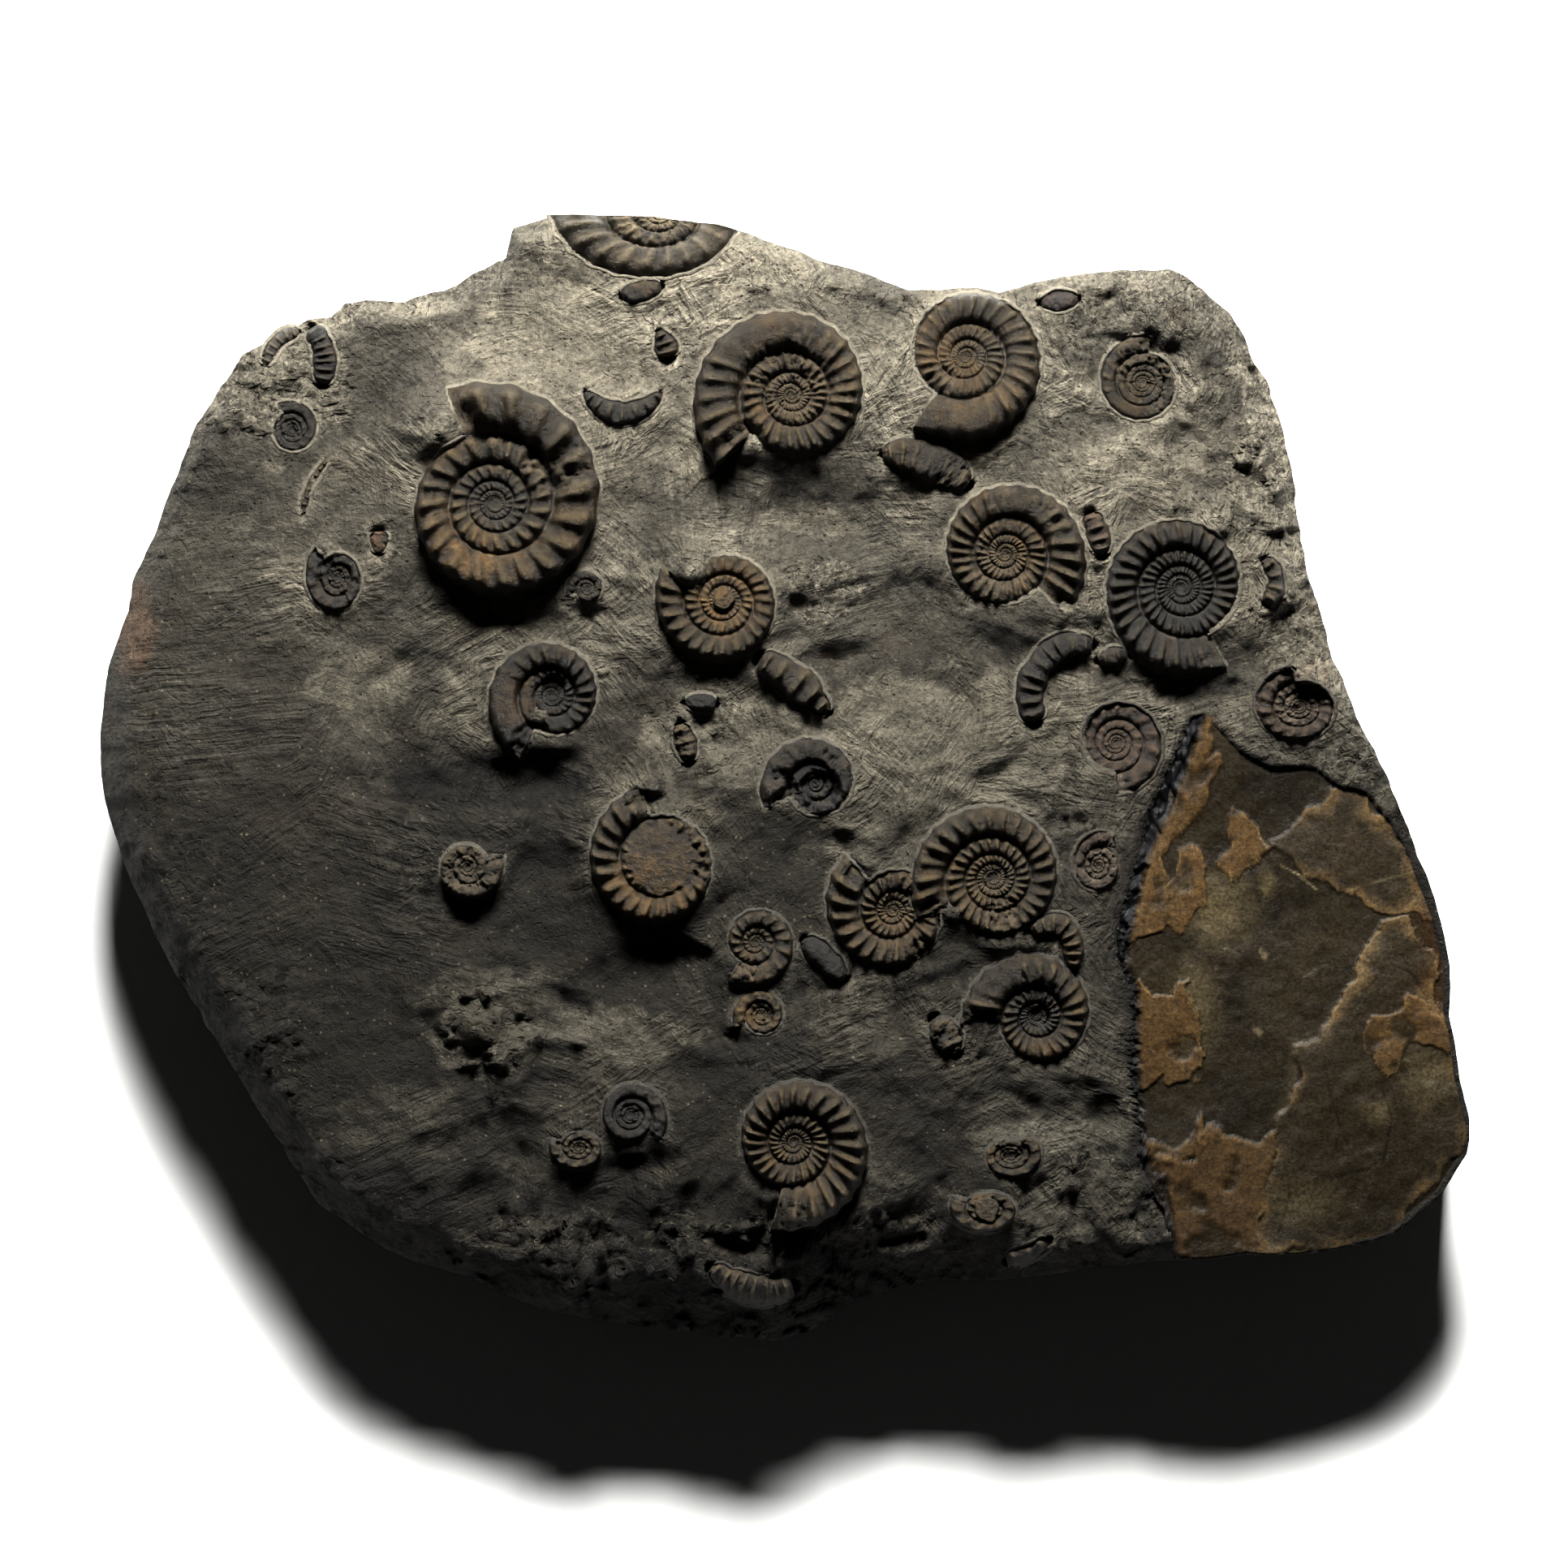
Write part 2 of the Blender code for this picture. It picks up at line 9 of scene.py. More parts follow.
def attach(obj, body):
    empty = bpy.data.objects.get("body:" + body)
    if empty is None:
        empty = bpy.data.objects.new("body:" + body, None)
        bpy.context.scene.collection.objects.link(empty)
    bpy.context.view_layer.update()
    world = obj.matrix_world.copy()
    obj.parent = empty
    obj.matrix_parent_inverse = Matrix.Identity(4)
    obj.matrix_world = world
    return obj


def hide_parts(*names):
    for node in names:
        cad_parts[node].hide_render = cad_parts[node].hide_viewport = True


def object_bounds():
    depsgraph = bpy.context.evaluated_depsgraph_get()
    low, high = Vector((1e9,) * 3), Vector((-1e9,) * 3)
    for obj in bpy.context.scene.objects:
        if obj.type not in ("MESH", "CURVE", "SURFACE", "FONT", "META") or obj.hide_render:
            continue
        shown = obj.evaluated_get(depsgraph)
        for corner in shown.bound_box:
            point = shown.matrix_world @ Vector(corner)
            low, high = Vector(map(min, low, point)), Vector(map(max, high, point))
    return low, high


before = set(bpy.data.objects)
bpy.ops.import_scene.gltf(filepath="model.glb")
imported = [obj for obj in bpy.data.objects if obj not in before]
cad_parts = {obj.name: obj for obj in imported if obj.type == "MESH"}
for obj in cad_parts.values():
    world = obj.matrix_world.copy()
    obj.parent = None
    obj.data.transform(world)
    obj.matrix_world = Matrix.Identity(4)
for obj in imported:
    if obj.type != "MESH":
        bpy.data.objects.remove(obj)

cad_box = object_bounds()

# Rock under the shells. One slab of dark limestone with a low dome for a top, which an air scribe
# has lowered round each shell. Only its relief is worked out here, because every shell sits on it;
# the slab itself comes further on.
MM = 0.001
STEP = 0.17  # millimetres to one step of the plan grid; columns run right, rows run down
ORIGIN_COLUMN, ORIGIN_ROW = 966, 961
CROWN, SAG_X, SAG_Y = 46.0, 5.0, 9.0  # height at the middle, fall to the sides, and to far and near
HALF_X, HALF_Y = 144.0, 119.0  # half the slab's width and depth
OUTLINE = (
    (122, 940), (122, 895), (130, 822), (157, 752), (161, 717), (189, 658), (212, 591), (240, 525),
    (273, 463), (294, 438), (337, 411), (375, 388), (402, 387), (420, 367), (496, 369), (544, 352),
    (598, 328), (621, 315), (630, 278), (683, 263), (791, 262), (881, 277), (1002, 315), (1118, 355),
    (1233, 356), (1348, 334), (1443, 328), (1486, 354), (1528, 400), (1564, 469), (1587, 550),
    (1601, 634), (1623, 733), (1644, 814), (1674, 884), (1716, 971), (1747, 1051), (1771, 1116),
    (1788, 1189), (1788, 1252), (1800, 1330), (1815, 1393), (1810, 1422), (1776, 1475), (1713, 1526),
    (1631, 1545), (1534, 1547), (1422, 1557), (1340, 1565), (1273, 1579), (1152, 1579), (1098, 1595),
    (1046, 1611), (1004, 1641), (957, 1659), (886, 1652), (800, 1640), (683, 1620), (590, 1585),
    (487, 1548), (401, 1496), (349, 1427), (298, 1341), (243, 1248), (194, 1162), (149, 1064),
    (126, 978),
)
# Margin of the top: direction in degrees, width of the falling strip, fall, and share of roughness
MARGIN = (
    (0, 7, 4, 0.6), (27, 9, 5, 1.0), (45, 11, 6, 1.0), (60, 7, 4, 0.7), (90, 6, 5, 0.5),
    (115, 8, 5, 0.6), (133, 10, 6, 1.0), (150, 7, 5, 0.8), (165, 9, 7, 0.4), (175, 10, 9, 0.4),
    (200, 11, 11, 0.8), (225, 11, 11, 0.9), (245, 13, 11, 0.8), (258, 20, 13, 1.0),
    (275, 25, 15, 1.0), (290, 18, 13, 1.0), (300, 11, 9, 0.8), (315, 5, 3, 0.3), (345, 4, 2, 0.3),
)
# Swells and hollows: column, row, radius in steps, rise in millimetres
SWELLS = (
    (611, 622, 190, 4.0), (975, 488, 160, 2.0), (891, 741, 115, 2.5), (812, 1058, 125, 2.5),
    (978, 1406, 130, 2.5), (578, 1068, 60, 2.0), (605, 1288, 70, 3.5), (1130, 770, 120, -3.0),
    (1150, 1000, 150, 1.5), (1430, 850, 80, -2.5), (430, 900, 130, -1.5), (1022, 730, 60, 2.0),
    (1330, 400, 90, 1.0),
)
# Ledges, knobs and scoops that the scribe left: column, row, half width, half height, turn, rise
KNOBS = (
    (540, 508, 60, 46, 30, 3.6), (976, 726, 18, 11, 0, 1.8), (1040, 712, 40, 9, 12, 1.4),
    (1000, 748, 30, 8, 0, -0.8), (588, 1268, 26, 18, 30, 2.6), (602, 1306, 14, 9, 0, -0.9),
    (640, 1330, 22, 12, 60, 2.0), (560, 1256, 16, 10, 0, 1.2), (862, 870, 26, 12, 0, 1.2),
    (836, 900, 12, 30, 0, 0.8), (1556, 822, 9, 9, 0, 1.2), (1598, 819, 8, 8, 0, 1.0),
    (1160, 1190, 40, 9, 20, 0.8), (1400, 425, 50, 9, 350, -2.6), (1420, 398, 44, 12, 350, 1.6),
    (1480, 440, 18, 12, 30, 1.4), (1505, 640, 26, 14, 60, 1.6), (1520, 668, 16, 9, 0, -1.2),
    (1550, 560, 30, 16, 60, 1.4), (1580, 760, 20, 30, 0, -1.2), (1440, 880, 30, 10, 330, 1.2),
    (470, 470, 60, 34, 30, -1.0), (760, 650, 70, 30, 60, -0.8), (975, 630, 115, 52, 350, -2.6),
    (630, 962, 95, 30, 10, -3.6), (620, 760, 60, 16, 0, -1.4), (820, 1175, 50, 18, 0, -1.6),
    (780, 1440, 40, 16, 0, -1.6), (1010, 1040, 60, 30, 0, -0.8), (415, 640, 8, 26, 330, -0.8),
    (1250, 1240, 16, 60, 0, -0.5), (1330, 1300, 20, 50, 340, 0.8), (330, 600, 40, 60, 30, 0.8),
    (690, 1500, 34, 20, 20, -1.2), (730, 1530, 14, 46, 350, -1.8), (700, 1545, 10, 44, 350, 1.4),
    (770, 1510, 40, 18, 15, -1.4), (880, 1530, 60, 12, 350, -1.2), (1080, 1500, 50, 12, 10, -1.0),
    (1110, 1545, 60, 12, 5, 1.4), (1290, 1500, 40, 9, 0, 1.2), (170, 780, 18, 70, 345, 0.7),
    (1353, 990, 20, 10, 0, 0.8), (1310, 930, 12, 40, 0, -0.7), (924, 640, 40, 20, 20, 0.6),
)
LEDGE = 0.9  # height in millimetres of a step where the stone breaks along its layers
# Broken patches: column, row, half width, half height in steps, share of roughness
ROUGH_AREAS = (
    (1445, 385, 130, 62, 0.9), (1440, 520, 110, 60, 0.45), (1565, 560, 48, 150, 1.0),
    (1585, 780, 55, 120, 0.9), (345, 455, 80, 75, 1.0), (604, 1285, 56, 60, 1.0),
    (1020, 725, 56, 34, 0.9), (1370, 1500, 80, 70, 1.0), (1410, 1250, 26, 330, 0.6),
    (830, 420, 40, 44, 0.8), (862, 900, 44, 60, 0.8), (1170, 1275, 44, 44, 0.8), (1150, 560, 70, 40, 0.3),
    (1350, 740, 50, 60, 0.7), (1500, 660, 60, 40, 0.8), (1290, 1140, 50, 34, 0.5),
    (1060, 1200, 60, 50, 0.4), (700, 300, 90, 30, 0.5), (980, 330, 120, 34, 0.7),
    (960, 1210, 60, 30, 0.5), (1650, 930, 70, 34, 1.0), (1560, 925, 60, 14, 0.8),
    (1460, 905, 60, 30, 0.7), (550, 1066, 60, 36, 0.5), (730, 1500, 60, 30, 0.9), (540, 510, 40, 20, 0.2),
    (1320, 980, 26, 90, 0.5), (1060, 1530, 120, 34, 0.9), (470, 668, 22, 26, 0.6),
    (1150, 730, 60, 18, 0.35), (800, 975, 20, 14, 0.6), (1040, 1010, 30, 16, 0.4),
    (700, 1535, 130, 56, 1.0), (880, 1575, 140, 50, 1.0), (1090, 1560, 120, 46, 1.0),
    (200, 1080, 50, 160, 0.5), (320, 1330, 60, 130, 0.6),
)
# Rows: number, column and row of the middle, radius at the mouth in steps, direction of the mouth,
# turn, growth in one whorl, ribs on the last whorl, lift of the middle plane, narrowing along X and Y,
# height of the ribs as a share of the whorl's width, sinking of the inner whorls, how much rock
# stands before the mouth, finish
AMMONITES = (
    ("01", 611, 622, 152, 113, 1, 1.75, 20, 0.25, 1.0, 1.0, 0.12, 1.4, 1.1, "brown"),
    ("02", 975, 488, 129, 224, 1, 1.90, 26, 0.10, 1.0, 1.0, 0.10, 1.6, 0.0, "brown"),
    ("03", 1190, 439, 114, 235, -1, 1.92, 26, 0.06, 1.0, 1.0, 0.09, 1.6, 0.3, "brown"),
    ("04", 1238, 683, 106, 315, -1, 1.87, 26, 0.04, 1.0, 1.0, 0.11, 1.4, 0.8, "brown"),
    ("05", 1455, 724, 112, 299, 1, 1.73, 30, 0.00, 1.0, 1.0, 0.11, 2.4, 0.8, "black"),
    ("06", 891, 741, 86, 150, -1, 1.70, 24, 0.10, 1.0, 1.0, 0.10, 1.0, 0.7, "brown"),
    ("07", 680, 858, 85, 243, 1, 1.90, 20, 0.05, 1.0, 1.0, 0.10, 2.6, 0.3, "black"),
    ("08", 1004, 966, 70, 205, 1, 2.10, 14, 0.05, 1.0, 1.0, 0.07, 1.8, 0.5, "black"),
    ("09", 813, 1061, 95, 103, -1, 1.75, 24, 0.12, 1.0, 1.0, 0.11, 0.8, 0.8, "brown"),
    ("10", 1223, 1082, 105, 207, 1, 1.70, 26, 0.08, 1.0, 1.0, 0.11, 1.4, 0.3, "brown"),
    ("11", 1100, 1121, 90, 130, -1, 2.00, 20, 0.00, 1.0, 1.0, 0.11, 0.8, 0.7, "brown"),
    ("12", 1276, 1252, 93, 185, 1, 2.10, 22, 0.08, 1.0, 1.0, 0.09, 1.8, 0.4, "brown"),
    ("13", 978, 1406, 110, 255, -1, 2.00, 24, 0.13, 1.0, 1.0, 0.11, 1.2, 0.0, "brown"),
    ("14", 931, 1160, 58, 235, -1, 2.00, 14, 0.05, 1.0, 1.0, 0.10, 0.6, 0.7, "brown"),
    ("15", 938, 1250, 36, 205, 1, 1.80, 10, 0.10, 1.0, 1.0, 0.08, 1.0, 0.7, "brown"),
    ("16", 778, 1373, 47, 325, -1, 1.70, 12, 0.30, 1.0, 1.0, 0.08, 0.7, 0.3, "black"),
    ("17", 714, 1413, 38, 160, -1, 1.80, 10, 0.20, 1.0, 0.80, 0.08, 0.3, 0.6, "brown"),
    ("18", 1244, 1423, 41, 60, 1, 1.60, 10, 0.30, 1.0, 0.76, 0.08, 2.0, 0.4, "brown"),
    ("19", 1216, 1488, 48, 150, -1, 1.80, 10, 0.25, 1.0, 0.70, 0.09, 0.4, 0.6, "brown"),
    ("20", 417, 713, 50, 130, -1, 1.80, 12, 0.00, 0.84, 1.0, 0.09, 0.8, 0.9, "black"),
    ("21", 361, 530, 36, 120, 1, 1.70, 10, 0.05, 1.0, 1.0, 0.09, 0.6, 0.7, "black"),
    ("22", 578, 1068, 46, 20, 1, 1.90, 8, 0.60, 1.0, 1.0, 0.06, 0.2, 0.9, "brown"),
    ("23", 724, 726, 26, 200, 1, 1.90, 6, 0.10, 1.0, 1.0, 0.08, 0.2, 0.8, "black"),
    ("24", 1376, 914, 64, 270, -1, 1.70, 14, -0.55, 1.0, 1.0, 0.09, 0.6, 0.7, "faded"),
    ("25", 1602, 871, 62, 100, -1, 1.70, 16, -0.60, 1.0, 0.84, 0.08, 0.4, 0.8, "faded"),
    ("26", 1407, 472, 59, 80, -1, 1.60, 16, -0.04, 1.0, 1.0, 0.12, 0.5, 0.6, "brown"),
    ("27", 1353, 1066, 43, 60, -1, 1.80, 10, -0.35, 0.9, 1.0, 0.07, 0.2, 0.9, "faded"),
    ("28", 813, 262, 136, 178, -1, 2.00, 22, -0.12, 1.0, 0.73, 0.06, 0.8, 0.6, "pale"),
)
# Rows: node, rise in millimetres, ribs, finish, and places of the middle line with the half width there
LENGTHS = (
    ("whorl_piece_01", 3.0, 7, "black",
     ((721, 485, 6), (741, 505, 12), (769, 513, 14), (797, 503, 12), (815, 486, 6))),
    ("whorl_piece_02", 3.0, 7, "brown",
     ((1087, 561, 8), (1110, 559, 18), (1140, 566, 21), (1171, 580, 22), (1192, 598, 12))),
    ("whorl_piece_03", 3.0, 9, "black",
     ((1345, 796, 10), (1306, 794, 15), (1277, 821, 17), (1265, 856, 17), (1274, 889, 13))),
    ("whorl_piece_04", 4.5, 5, "brown", ((937, 813, 14), (968, 832, 20), (998, 855, 20), (1020, 879, 9))),
    ("whorl_piece_05", 3.0, 8, "brown",
     ((1270, 1147, 6), (1288, 1138, 14), (1308, 1139, 15), (1320, 1156, 13), (1322, 1178, 12),
      (1320, 1191, 7))),
    ("whorl_piece_06", 4.0, 0, "black",
     ((990, 1157, 9), (1005, 1171, 16), (1024, 1189, 17), (1040, 1205, 10))),
    ("whorl_piece_07", 2.5, 7, "black", ((385, 404, 11), (398, 425, 15), (402, 450, 14), (398, 474, 10))),
    ("whorl_piece_08", 2.0, 6, "brown", ((327, 450, 6), (335, 428, 9), (350, 413, 9), (368, 408, 6))),
    ("whorl_piece_09", 3.0, 0, "brown", ((766, 366, 8), (790, 360, 13), (815, 354, 8))),
    ("whorl_piece_10", 3.0, 3, "black", ((812, 409, 6), (820, 425, 14), (824, 441, 12))),
    ("whorl_piece_11", 3.0, 0, "black", ((845, 866, 8), (862, 865, 12), (882, 868, 9))),
    ("whorl_piece_12", 3.0, 2, "black", ((1353, 815, 8), (1370, 810, 13), (1388, 806, 8))),
    ("whorl_piece_13", 3.0, 4, "rusty", ((1342, 634, 11), (1352, 658, 17), (1358, 684, 10))),
    ("whorl_piece_14", 3.0, 4, "brown", ((1556, 690, 8), (1570, 705, 11), (1572, 727, 11), (1558, 744, 8))),
    ("whorl_piece_15", 3.0, 2, "brown", ((1150, 1255, 12), (1165, 1275, 20), (1178, 1296, 12))),
    ("whorl_piece_16", 3.0, 8, "brown",
     ((876, 1562, 11), (908, 1584, 17), (945, 1594, 17), (976, 1584, 11))),
    ("whorl_piece_17", 2.5, 3, "brown", ((1240, 1553, 8), (1267, 1545, 11), (1292, 1528, 8))),
    ("whorl_piece_18", 3.0, 3, "brown", ((838, 893, 10), (845, 915, 15), (850, 938, 10))),
    ("bivalve_shell", 3.0, 0, "rusty", ((1282, 374, 8), (1305, 371, 16), (1328, 369, 8))),
    ("shell_piece", 1.2, 0, "rusty", ((468, 656, 10), (469, 669, 12), (468, 682, 8))),
    ("ribbed_strip", 1.2, 8, "brown", ((404, 568, 3), (386, 593, 4), (378, 612, 5), (375, 636, 4))),
)
# The calcite sheet's border, and the height of its face at its left side with its falls
VEIN_BORDER = (
    (1485, 874), (1500, 892), (1534, 924), (1563, 940), (1621, 940), (1650, 964), (1686, 972),
    (1714, 1006), (1742, 1054), (1766, 1118), (1784, 1190), (1785, 1253), (1796, 1331), (1811, 1393),
    (1806, 1421), (1773, 1472), (1711, 1522), (1630, 1541), (1534, 1543), (1446, 1550), (1434, 1490),
    (1404, 1446), (1398, 1402), (1388, 1325), (1388, 1218), (1366, 1179), (1372, 1131), (1390, 1070),
    (1408, 1000), (1440, 930), (1462, 880),
)
VEIN_PLACE, VEIN_HEIGHT, VEIN_FALL_X, VEIN_FALL_Y = (1378, 1250), 40.5, 0.105, 0.02


def plan(column, row):
    """Millimetres right of and beyond the origin, for a place on the plan grid."""
    return (column - ORIGIN_COLUMN) * STEP, (ORIGIN_ROW - row) * STEP


def bearing(x, y):
    """Direction of a place seen from (0, 0), in degrees."""
    return np.degrees(np.arctan2(y, x)) % 360


def from_patch(x, y, column, row, half_x, half_y):
    """Distance from the middle of a patch, as a share of its half width and half height in steps."""
    middle_x, middle_y = plan(column, row)
    return np.hypot((x - middle_x) / half_x, (y - middle_y) / half_y) / STEP


def round_border(places):
    """Directions and reaches of a border's corners, seen from the place (0, 0), in order."""
    x, y = np.array(places).T
    order = np.argsort(bearing(x, y))
    return bearing(x, y)[order], np.hypot(x, y)[order]


edge_angles, edge_reaches = round_border([plan(*place) for place in OUTLINE])


def margin(x, y):
    """Distance inside the outline, then width, fall and roughness of the margin there."""
    angle = bearing(x, y)
    inset = np.interp(angle, edge_angles, edge_reaches, period=360) - np.hypot(x, y)
    angles, *columns = zip(*MARGIN)
    return [np.maximum(0, inset)] + [np.interp(angle, angles, column, period=360) for column in columns]


def ground(x, y):
    """Height of the rock's top before the scribe's marks and the breaks."""
    inset, width, fall, _ = margin(x, y)
    height = CROWN - SAG_X * (x / HALF_X) ** 2 - SAG_Y * (y / HALF_Y) ** 2
    height = height - fall * np.maximum(0, 1 - inset / (0.7 * width)) ** 1.15
    for column, row, radius, rise in SWELLS:
        height = height + rise * np.exp(-(from_patch(x, y, column, row, radius, radius) ** 2))
    return height


def vein_face(x, y):
    """Height of the calcite sheet's face."""
    left_x, left_y = plan(*VEIN_PLACE)
    return VEIN_HEIGHT - VEIN_FALL_X * (x - left_x) + VEIN_FALL_Y * (y - left_y)


def ease(value):
    """A soft step from 0 to 1."""
    value = np.clip(value, 0, 1)
    return value * value * (3 - 2 * value)


def draw(column, row, seed):
    """A number from 0 to 1 that is fixed for each cell of a grid."""
    mixed = (column * 374761393 + row * 668265263 + seed * 2246822519) & 0xFFFFFFFF
    mixed = ((mixed ^ (mixed >> 13)) * 1274126177) & 0xFFFFFFFF
    return ((mixed ^ (mixed >> 16)) & 0xFFFF) / 65535


def cells(x, y, size, seed):
    """Cell numbers on a grid turned by the seed, and the place inside the cell."""
    turned = np.cos(seed) * x + np.sin(seed) * y, np.cos(seed) * y - np.sin(seed) * x
    column, row = (np.floor(value / size).astype(np.int64) for value in turned)
    return column, row, turned[0] / size - column, turned[1] / size - row


def lumps(x, y, size, seed):
    """Smooth lumps from -1 to 1, as far apart as size."""
    column, row, u, v = cells(x, y, size, seed)
    u, v = ease(u), ease(v)
    near = draw(column, row, seed) * (1 - u) + draw(column + 1, row, seed) * u
    far = draw(column, row + 1, seed) * (1 - u) + draw(column + 1, row + 1, seed) * u
    return 2 * (near * (1 - v) + far * v) - 1


def weathered(x, y, size, seed, layers=4):
    """Lumps on lumps, each layer half the size and height of the one before."""
    return sum(lumps(x, y, size / 2**k, seed + k) / 2**k for k in range(layers))


def chips(x, y, size, seed):
    """Heights from about -1 to 1 of broken rock, where each chip left one tilted facet."""
    column, row, u, v = cells(x, y, size, seed)
    nearest = np.full(np.shape(x), 9.0)
    height = np.zeros(np.shape(x))
    for a in (-1, 0, 1):
        for b in (-1, 0, 1):
            apart_u = u - a - draw(column + a, row + b, seed + 1)
            apart_v = v - b - draw(column + a, row + b, seed + 2)
            apart = apart_u**2 + apart_v**2
            tilt_u = draw(column + a, row + b, seed + 3) - 0.5
            tilt_v = draw(column + a, row + b, seed + 4) - 0.5
            step = 1.2 * (draw(column + a, row + b, seed + 5) - 0.5)
            facet = step + 1.8 * (apart_u * tilt_u + apart_v * tilt_v)
            height = np.where(apart < nearest, facet, height)
            nearest = np.minimum(apart, nearest)
    return height


def from_line(x, y, start, end):
    """Distance from a straight line between two places, and the share of the way along it."""
    (x0, y0), (x1, y1) = start, end
    share = ((x - x0) * (x1 - x0) + (y - y0) * (y1 - y0)) / ((x1 - x0) ** 2 + (y1 - y0) ** 2)
    share = np.clip(share, 0, 1)
    return np.hypot(x - x0 - share * (x1 - x0), y - y0 - share * (y1 - y0)), share


def border_distance(x, y, border):
    """Millimetres outside a closed border; less than 0 inside it."""
    nearest = np.full(np.shape(x), 999.0)
    inside = np.zeros(np.shape(x), bool)
    for (x0, y0), (x1, y1) in zip(border, border[1:] + border[:1]):
        nearest = np.minimum(nearest, from_line(x, y, (x0, y0), (x1, y1))[0])
        if y0 != y1:
            inside ^= ((y0 > y) != (y1 > y)) & (x < (x1 - x0) * (y - y0) / (y1 - y0) + x0)
    return np.where(inside, -nearest, nearest)


def rim_distance(x, y):
    """Millimetres outside the nearest shell's rim; less than 0 under a shell."""
    nearest = np.full(np.shape(x), 99.0)
    for _, column, row, radius, mouth, turn, growth, _, _, share_x, share_y, *_ in AMMONITES:
        middle_x, middle_y = plan(column, row)
        u, v = (x - middle_x) / share_x, (y - middle_y) / share_y
        behind = (turn * (bearing(u, v) - mouth)) % 360 - 360
        nearest = np.minimum(nearest, np.hypot(u, v) - radius * STEP * growth ** (behind / 360))
    for *_, path in LENGTHS:
        line = [(*plan(column, row), half * STEP) for column, row, half in path]
        for (*start, half0), (*end, half1) in zip(line, line[1:]):
            apart, share = from_line(x, y, start, end)
            nearest = np.minimum(nearest, apart - half0 - share * (half1 - half0))
    return nearest


vein_line = [plan(*place) for place in VEIN_BORDER]


def rock_top(x, y):
    """Height of the finished rock, how rough it is, and the distance outside the nearest shell."""
    inset, width, _, broken_share = margin(x, y)
    rough = broken_share * ease(1.35 - inset / width)
    ragged = 1.25 + 0.45 * weathered(x, y, 9, 8)
    for *patch, strength in ROUGH_AREAS:
        rough = np.maximum(rough, strength * ease((ragged - from_patch(x, y, *patch)) / 0.35))
    clear = rim_distance(x, y)
    height = ground(x, y)
    for column, row, half_x, half_y, turn, rise in KNOBS:
        knob_x, knob_y = plan(column, row)
        cos, sin = math.cos(math.radians(turn)), math.sin(math.radians(turn))
        u = ((x - knob_x) * cos + (y - knob_y) * sin) / (half_x * STEP)
        v = ((y - knob_y) * cos - (x - knob_x) * sin) / (half_y * STEP)
        height = height + rise * np.exp(-((u**2 + v**2) ** 1.5))
    # Rock that fills a shell's mouth, and the hollow scribed on the near side of a shell that stands free
    for _, column, row, radius, mouth, turn, growth, _, lift, share_x, share_y, _, _, filled, _ in AMMONITES:
        section = radius * STEP * (1 - 1 / growth)
        along = math.radians(mouth + turn * 14)
        middle_x, middle_y = plan(column, row)
        mound_x = middle_x + share_x * (radius * STEP - 0.5 * section) * math.cos(along)
        mound_y = middle_y + share_y * (radius * STEP - 0.5 * section) * math.sin(along)
        apart = np.hypot(x - mound_x, y - mound_y) / (0.62 * section)
        height = height + 0.42 * filled * section * np.exp(-(apart**2))
        scoop_x, scoop_y = (x - middle_x) / (0.95 * radius), (y - middle_y) / radius + 1.25 * STEP
        scoop = np.exp(-((scoop_x / STEP) ** 2) - (scoop_y / (0.5 * STEP)) ** 2)
        height = height - 0.13 * radius * STEP * scoop * ease(0.5 + 5 * lift)
    # Broad humps with soft ridges between them, calmer on the rubbed left side; then smaller lumps
    bent_x, bent_y = x + 2.5 * lumps(x, y, 11, 18), y + 2.5 * lumps(x, y, 11, 19)
    ridges = 0.4 - np.abs(weathered(bent_x, bent_y, 13, 21, 3))
    dunes = 1.6 * weathered(bent_x, bent_y, 26, 17, 2) + 2.3 * ridges
    calm = 1 - 0.65 * ease((-70 - x) / 30)
    height += dunes * calm * ease(clear / 4)
    height += 0.55 * weathered(bent_x, bent_y, 6.5, 23, 3) * calm * (0.4 + 0.6 * ease(clear / 3))
    # Flat steps where layers of the stone broke off, then facets: faint on the scribed top, coarse in
    # the broken patches, where the pits between them are filled with dust
    layer = 1.5 * weathered(bent_x, bent_y, 17, 61, 3) / LEDGE
    layer = np.floor(layer) + ease((layer % 1 - 0.86) / 0.14) - layer
    height += LEDGE * layer * (0.3 + 0.9 * rough) * (0.25 + 0.75 * ease(clear / 2))
    height += 0.16 * chips(bent_x, bent_y, 5.5, 29) * (1 - rough)
    broken_rock = 1.6 * chips(x, y, 8.5, 41) + 1.3 * chips(x, y, 3.9, 47) + 0.6 * chips(x, y, 2.1, 53)
    broken_rock = np.maximum(broken_rock, 0.22 * broken_rock) + 0.2
    height += rough * (broken_rock + 0.25 * weathered(x, y, 2.2, 51, 2)) * (0.35 + 0.65 * ease(clear / 2.5))
    # The scribe stopped just short of each shell, and of the calcite sheet, which the rock borders
    height += 0.6 * np.exp(-((np.maximum(clear, 0) / 3.0) ** 2))
    in_vein = border_distance(x, y, vein_line)
    over_face = height - vein_face(x, y)
    height = np.minimum(height, vein_face(x, y) + 0.25 + 0.25 * np.maximum(in_vein, 0) + 0.2 * over_face)
    under_vein = ease((-0.6 - in_vein) / 0.9)
    height = height * (1 - under_vein) + np.minimum(height, vein_face(x, y) - 1.4) * under_vein
    return np.minimum(height, cad_box[1].z / MM - 1.0), rough, clear


# Ammonites. Coils of brown calcite that stand on the rock or lie in it, with ribs that fade on the
# outer band and towards the seam. Each grew as one shell, is filled with stone and is held by the
# rock, which the scribe left as a thin pale lip against it.

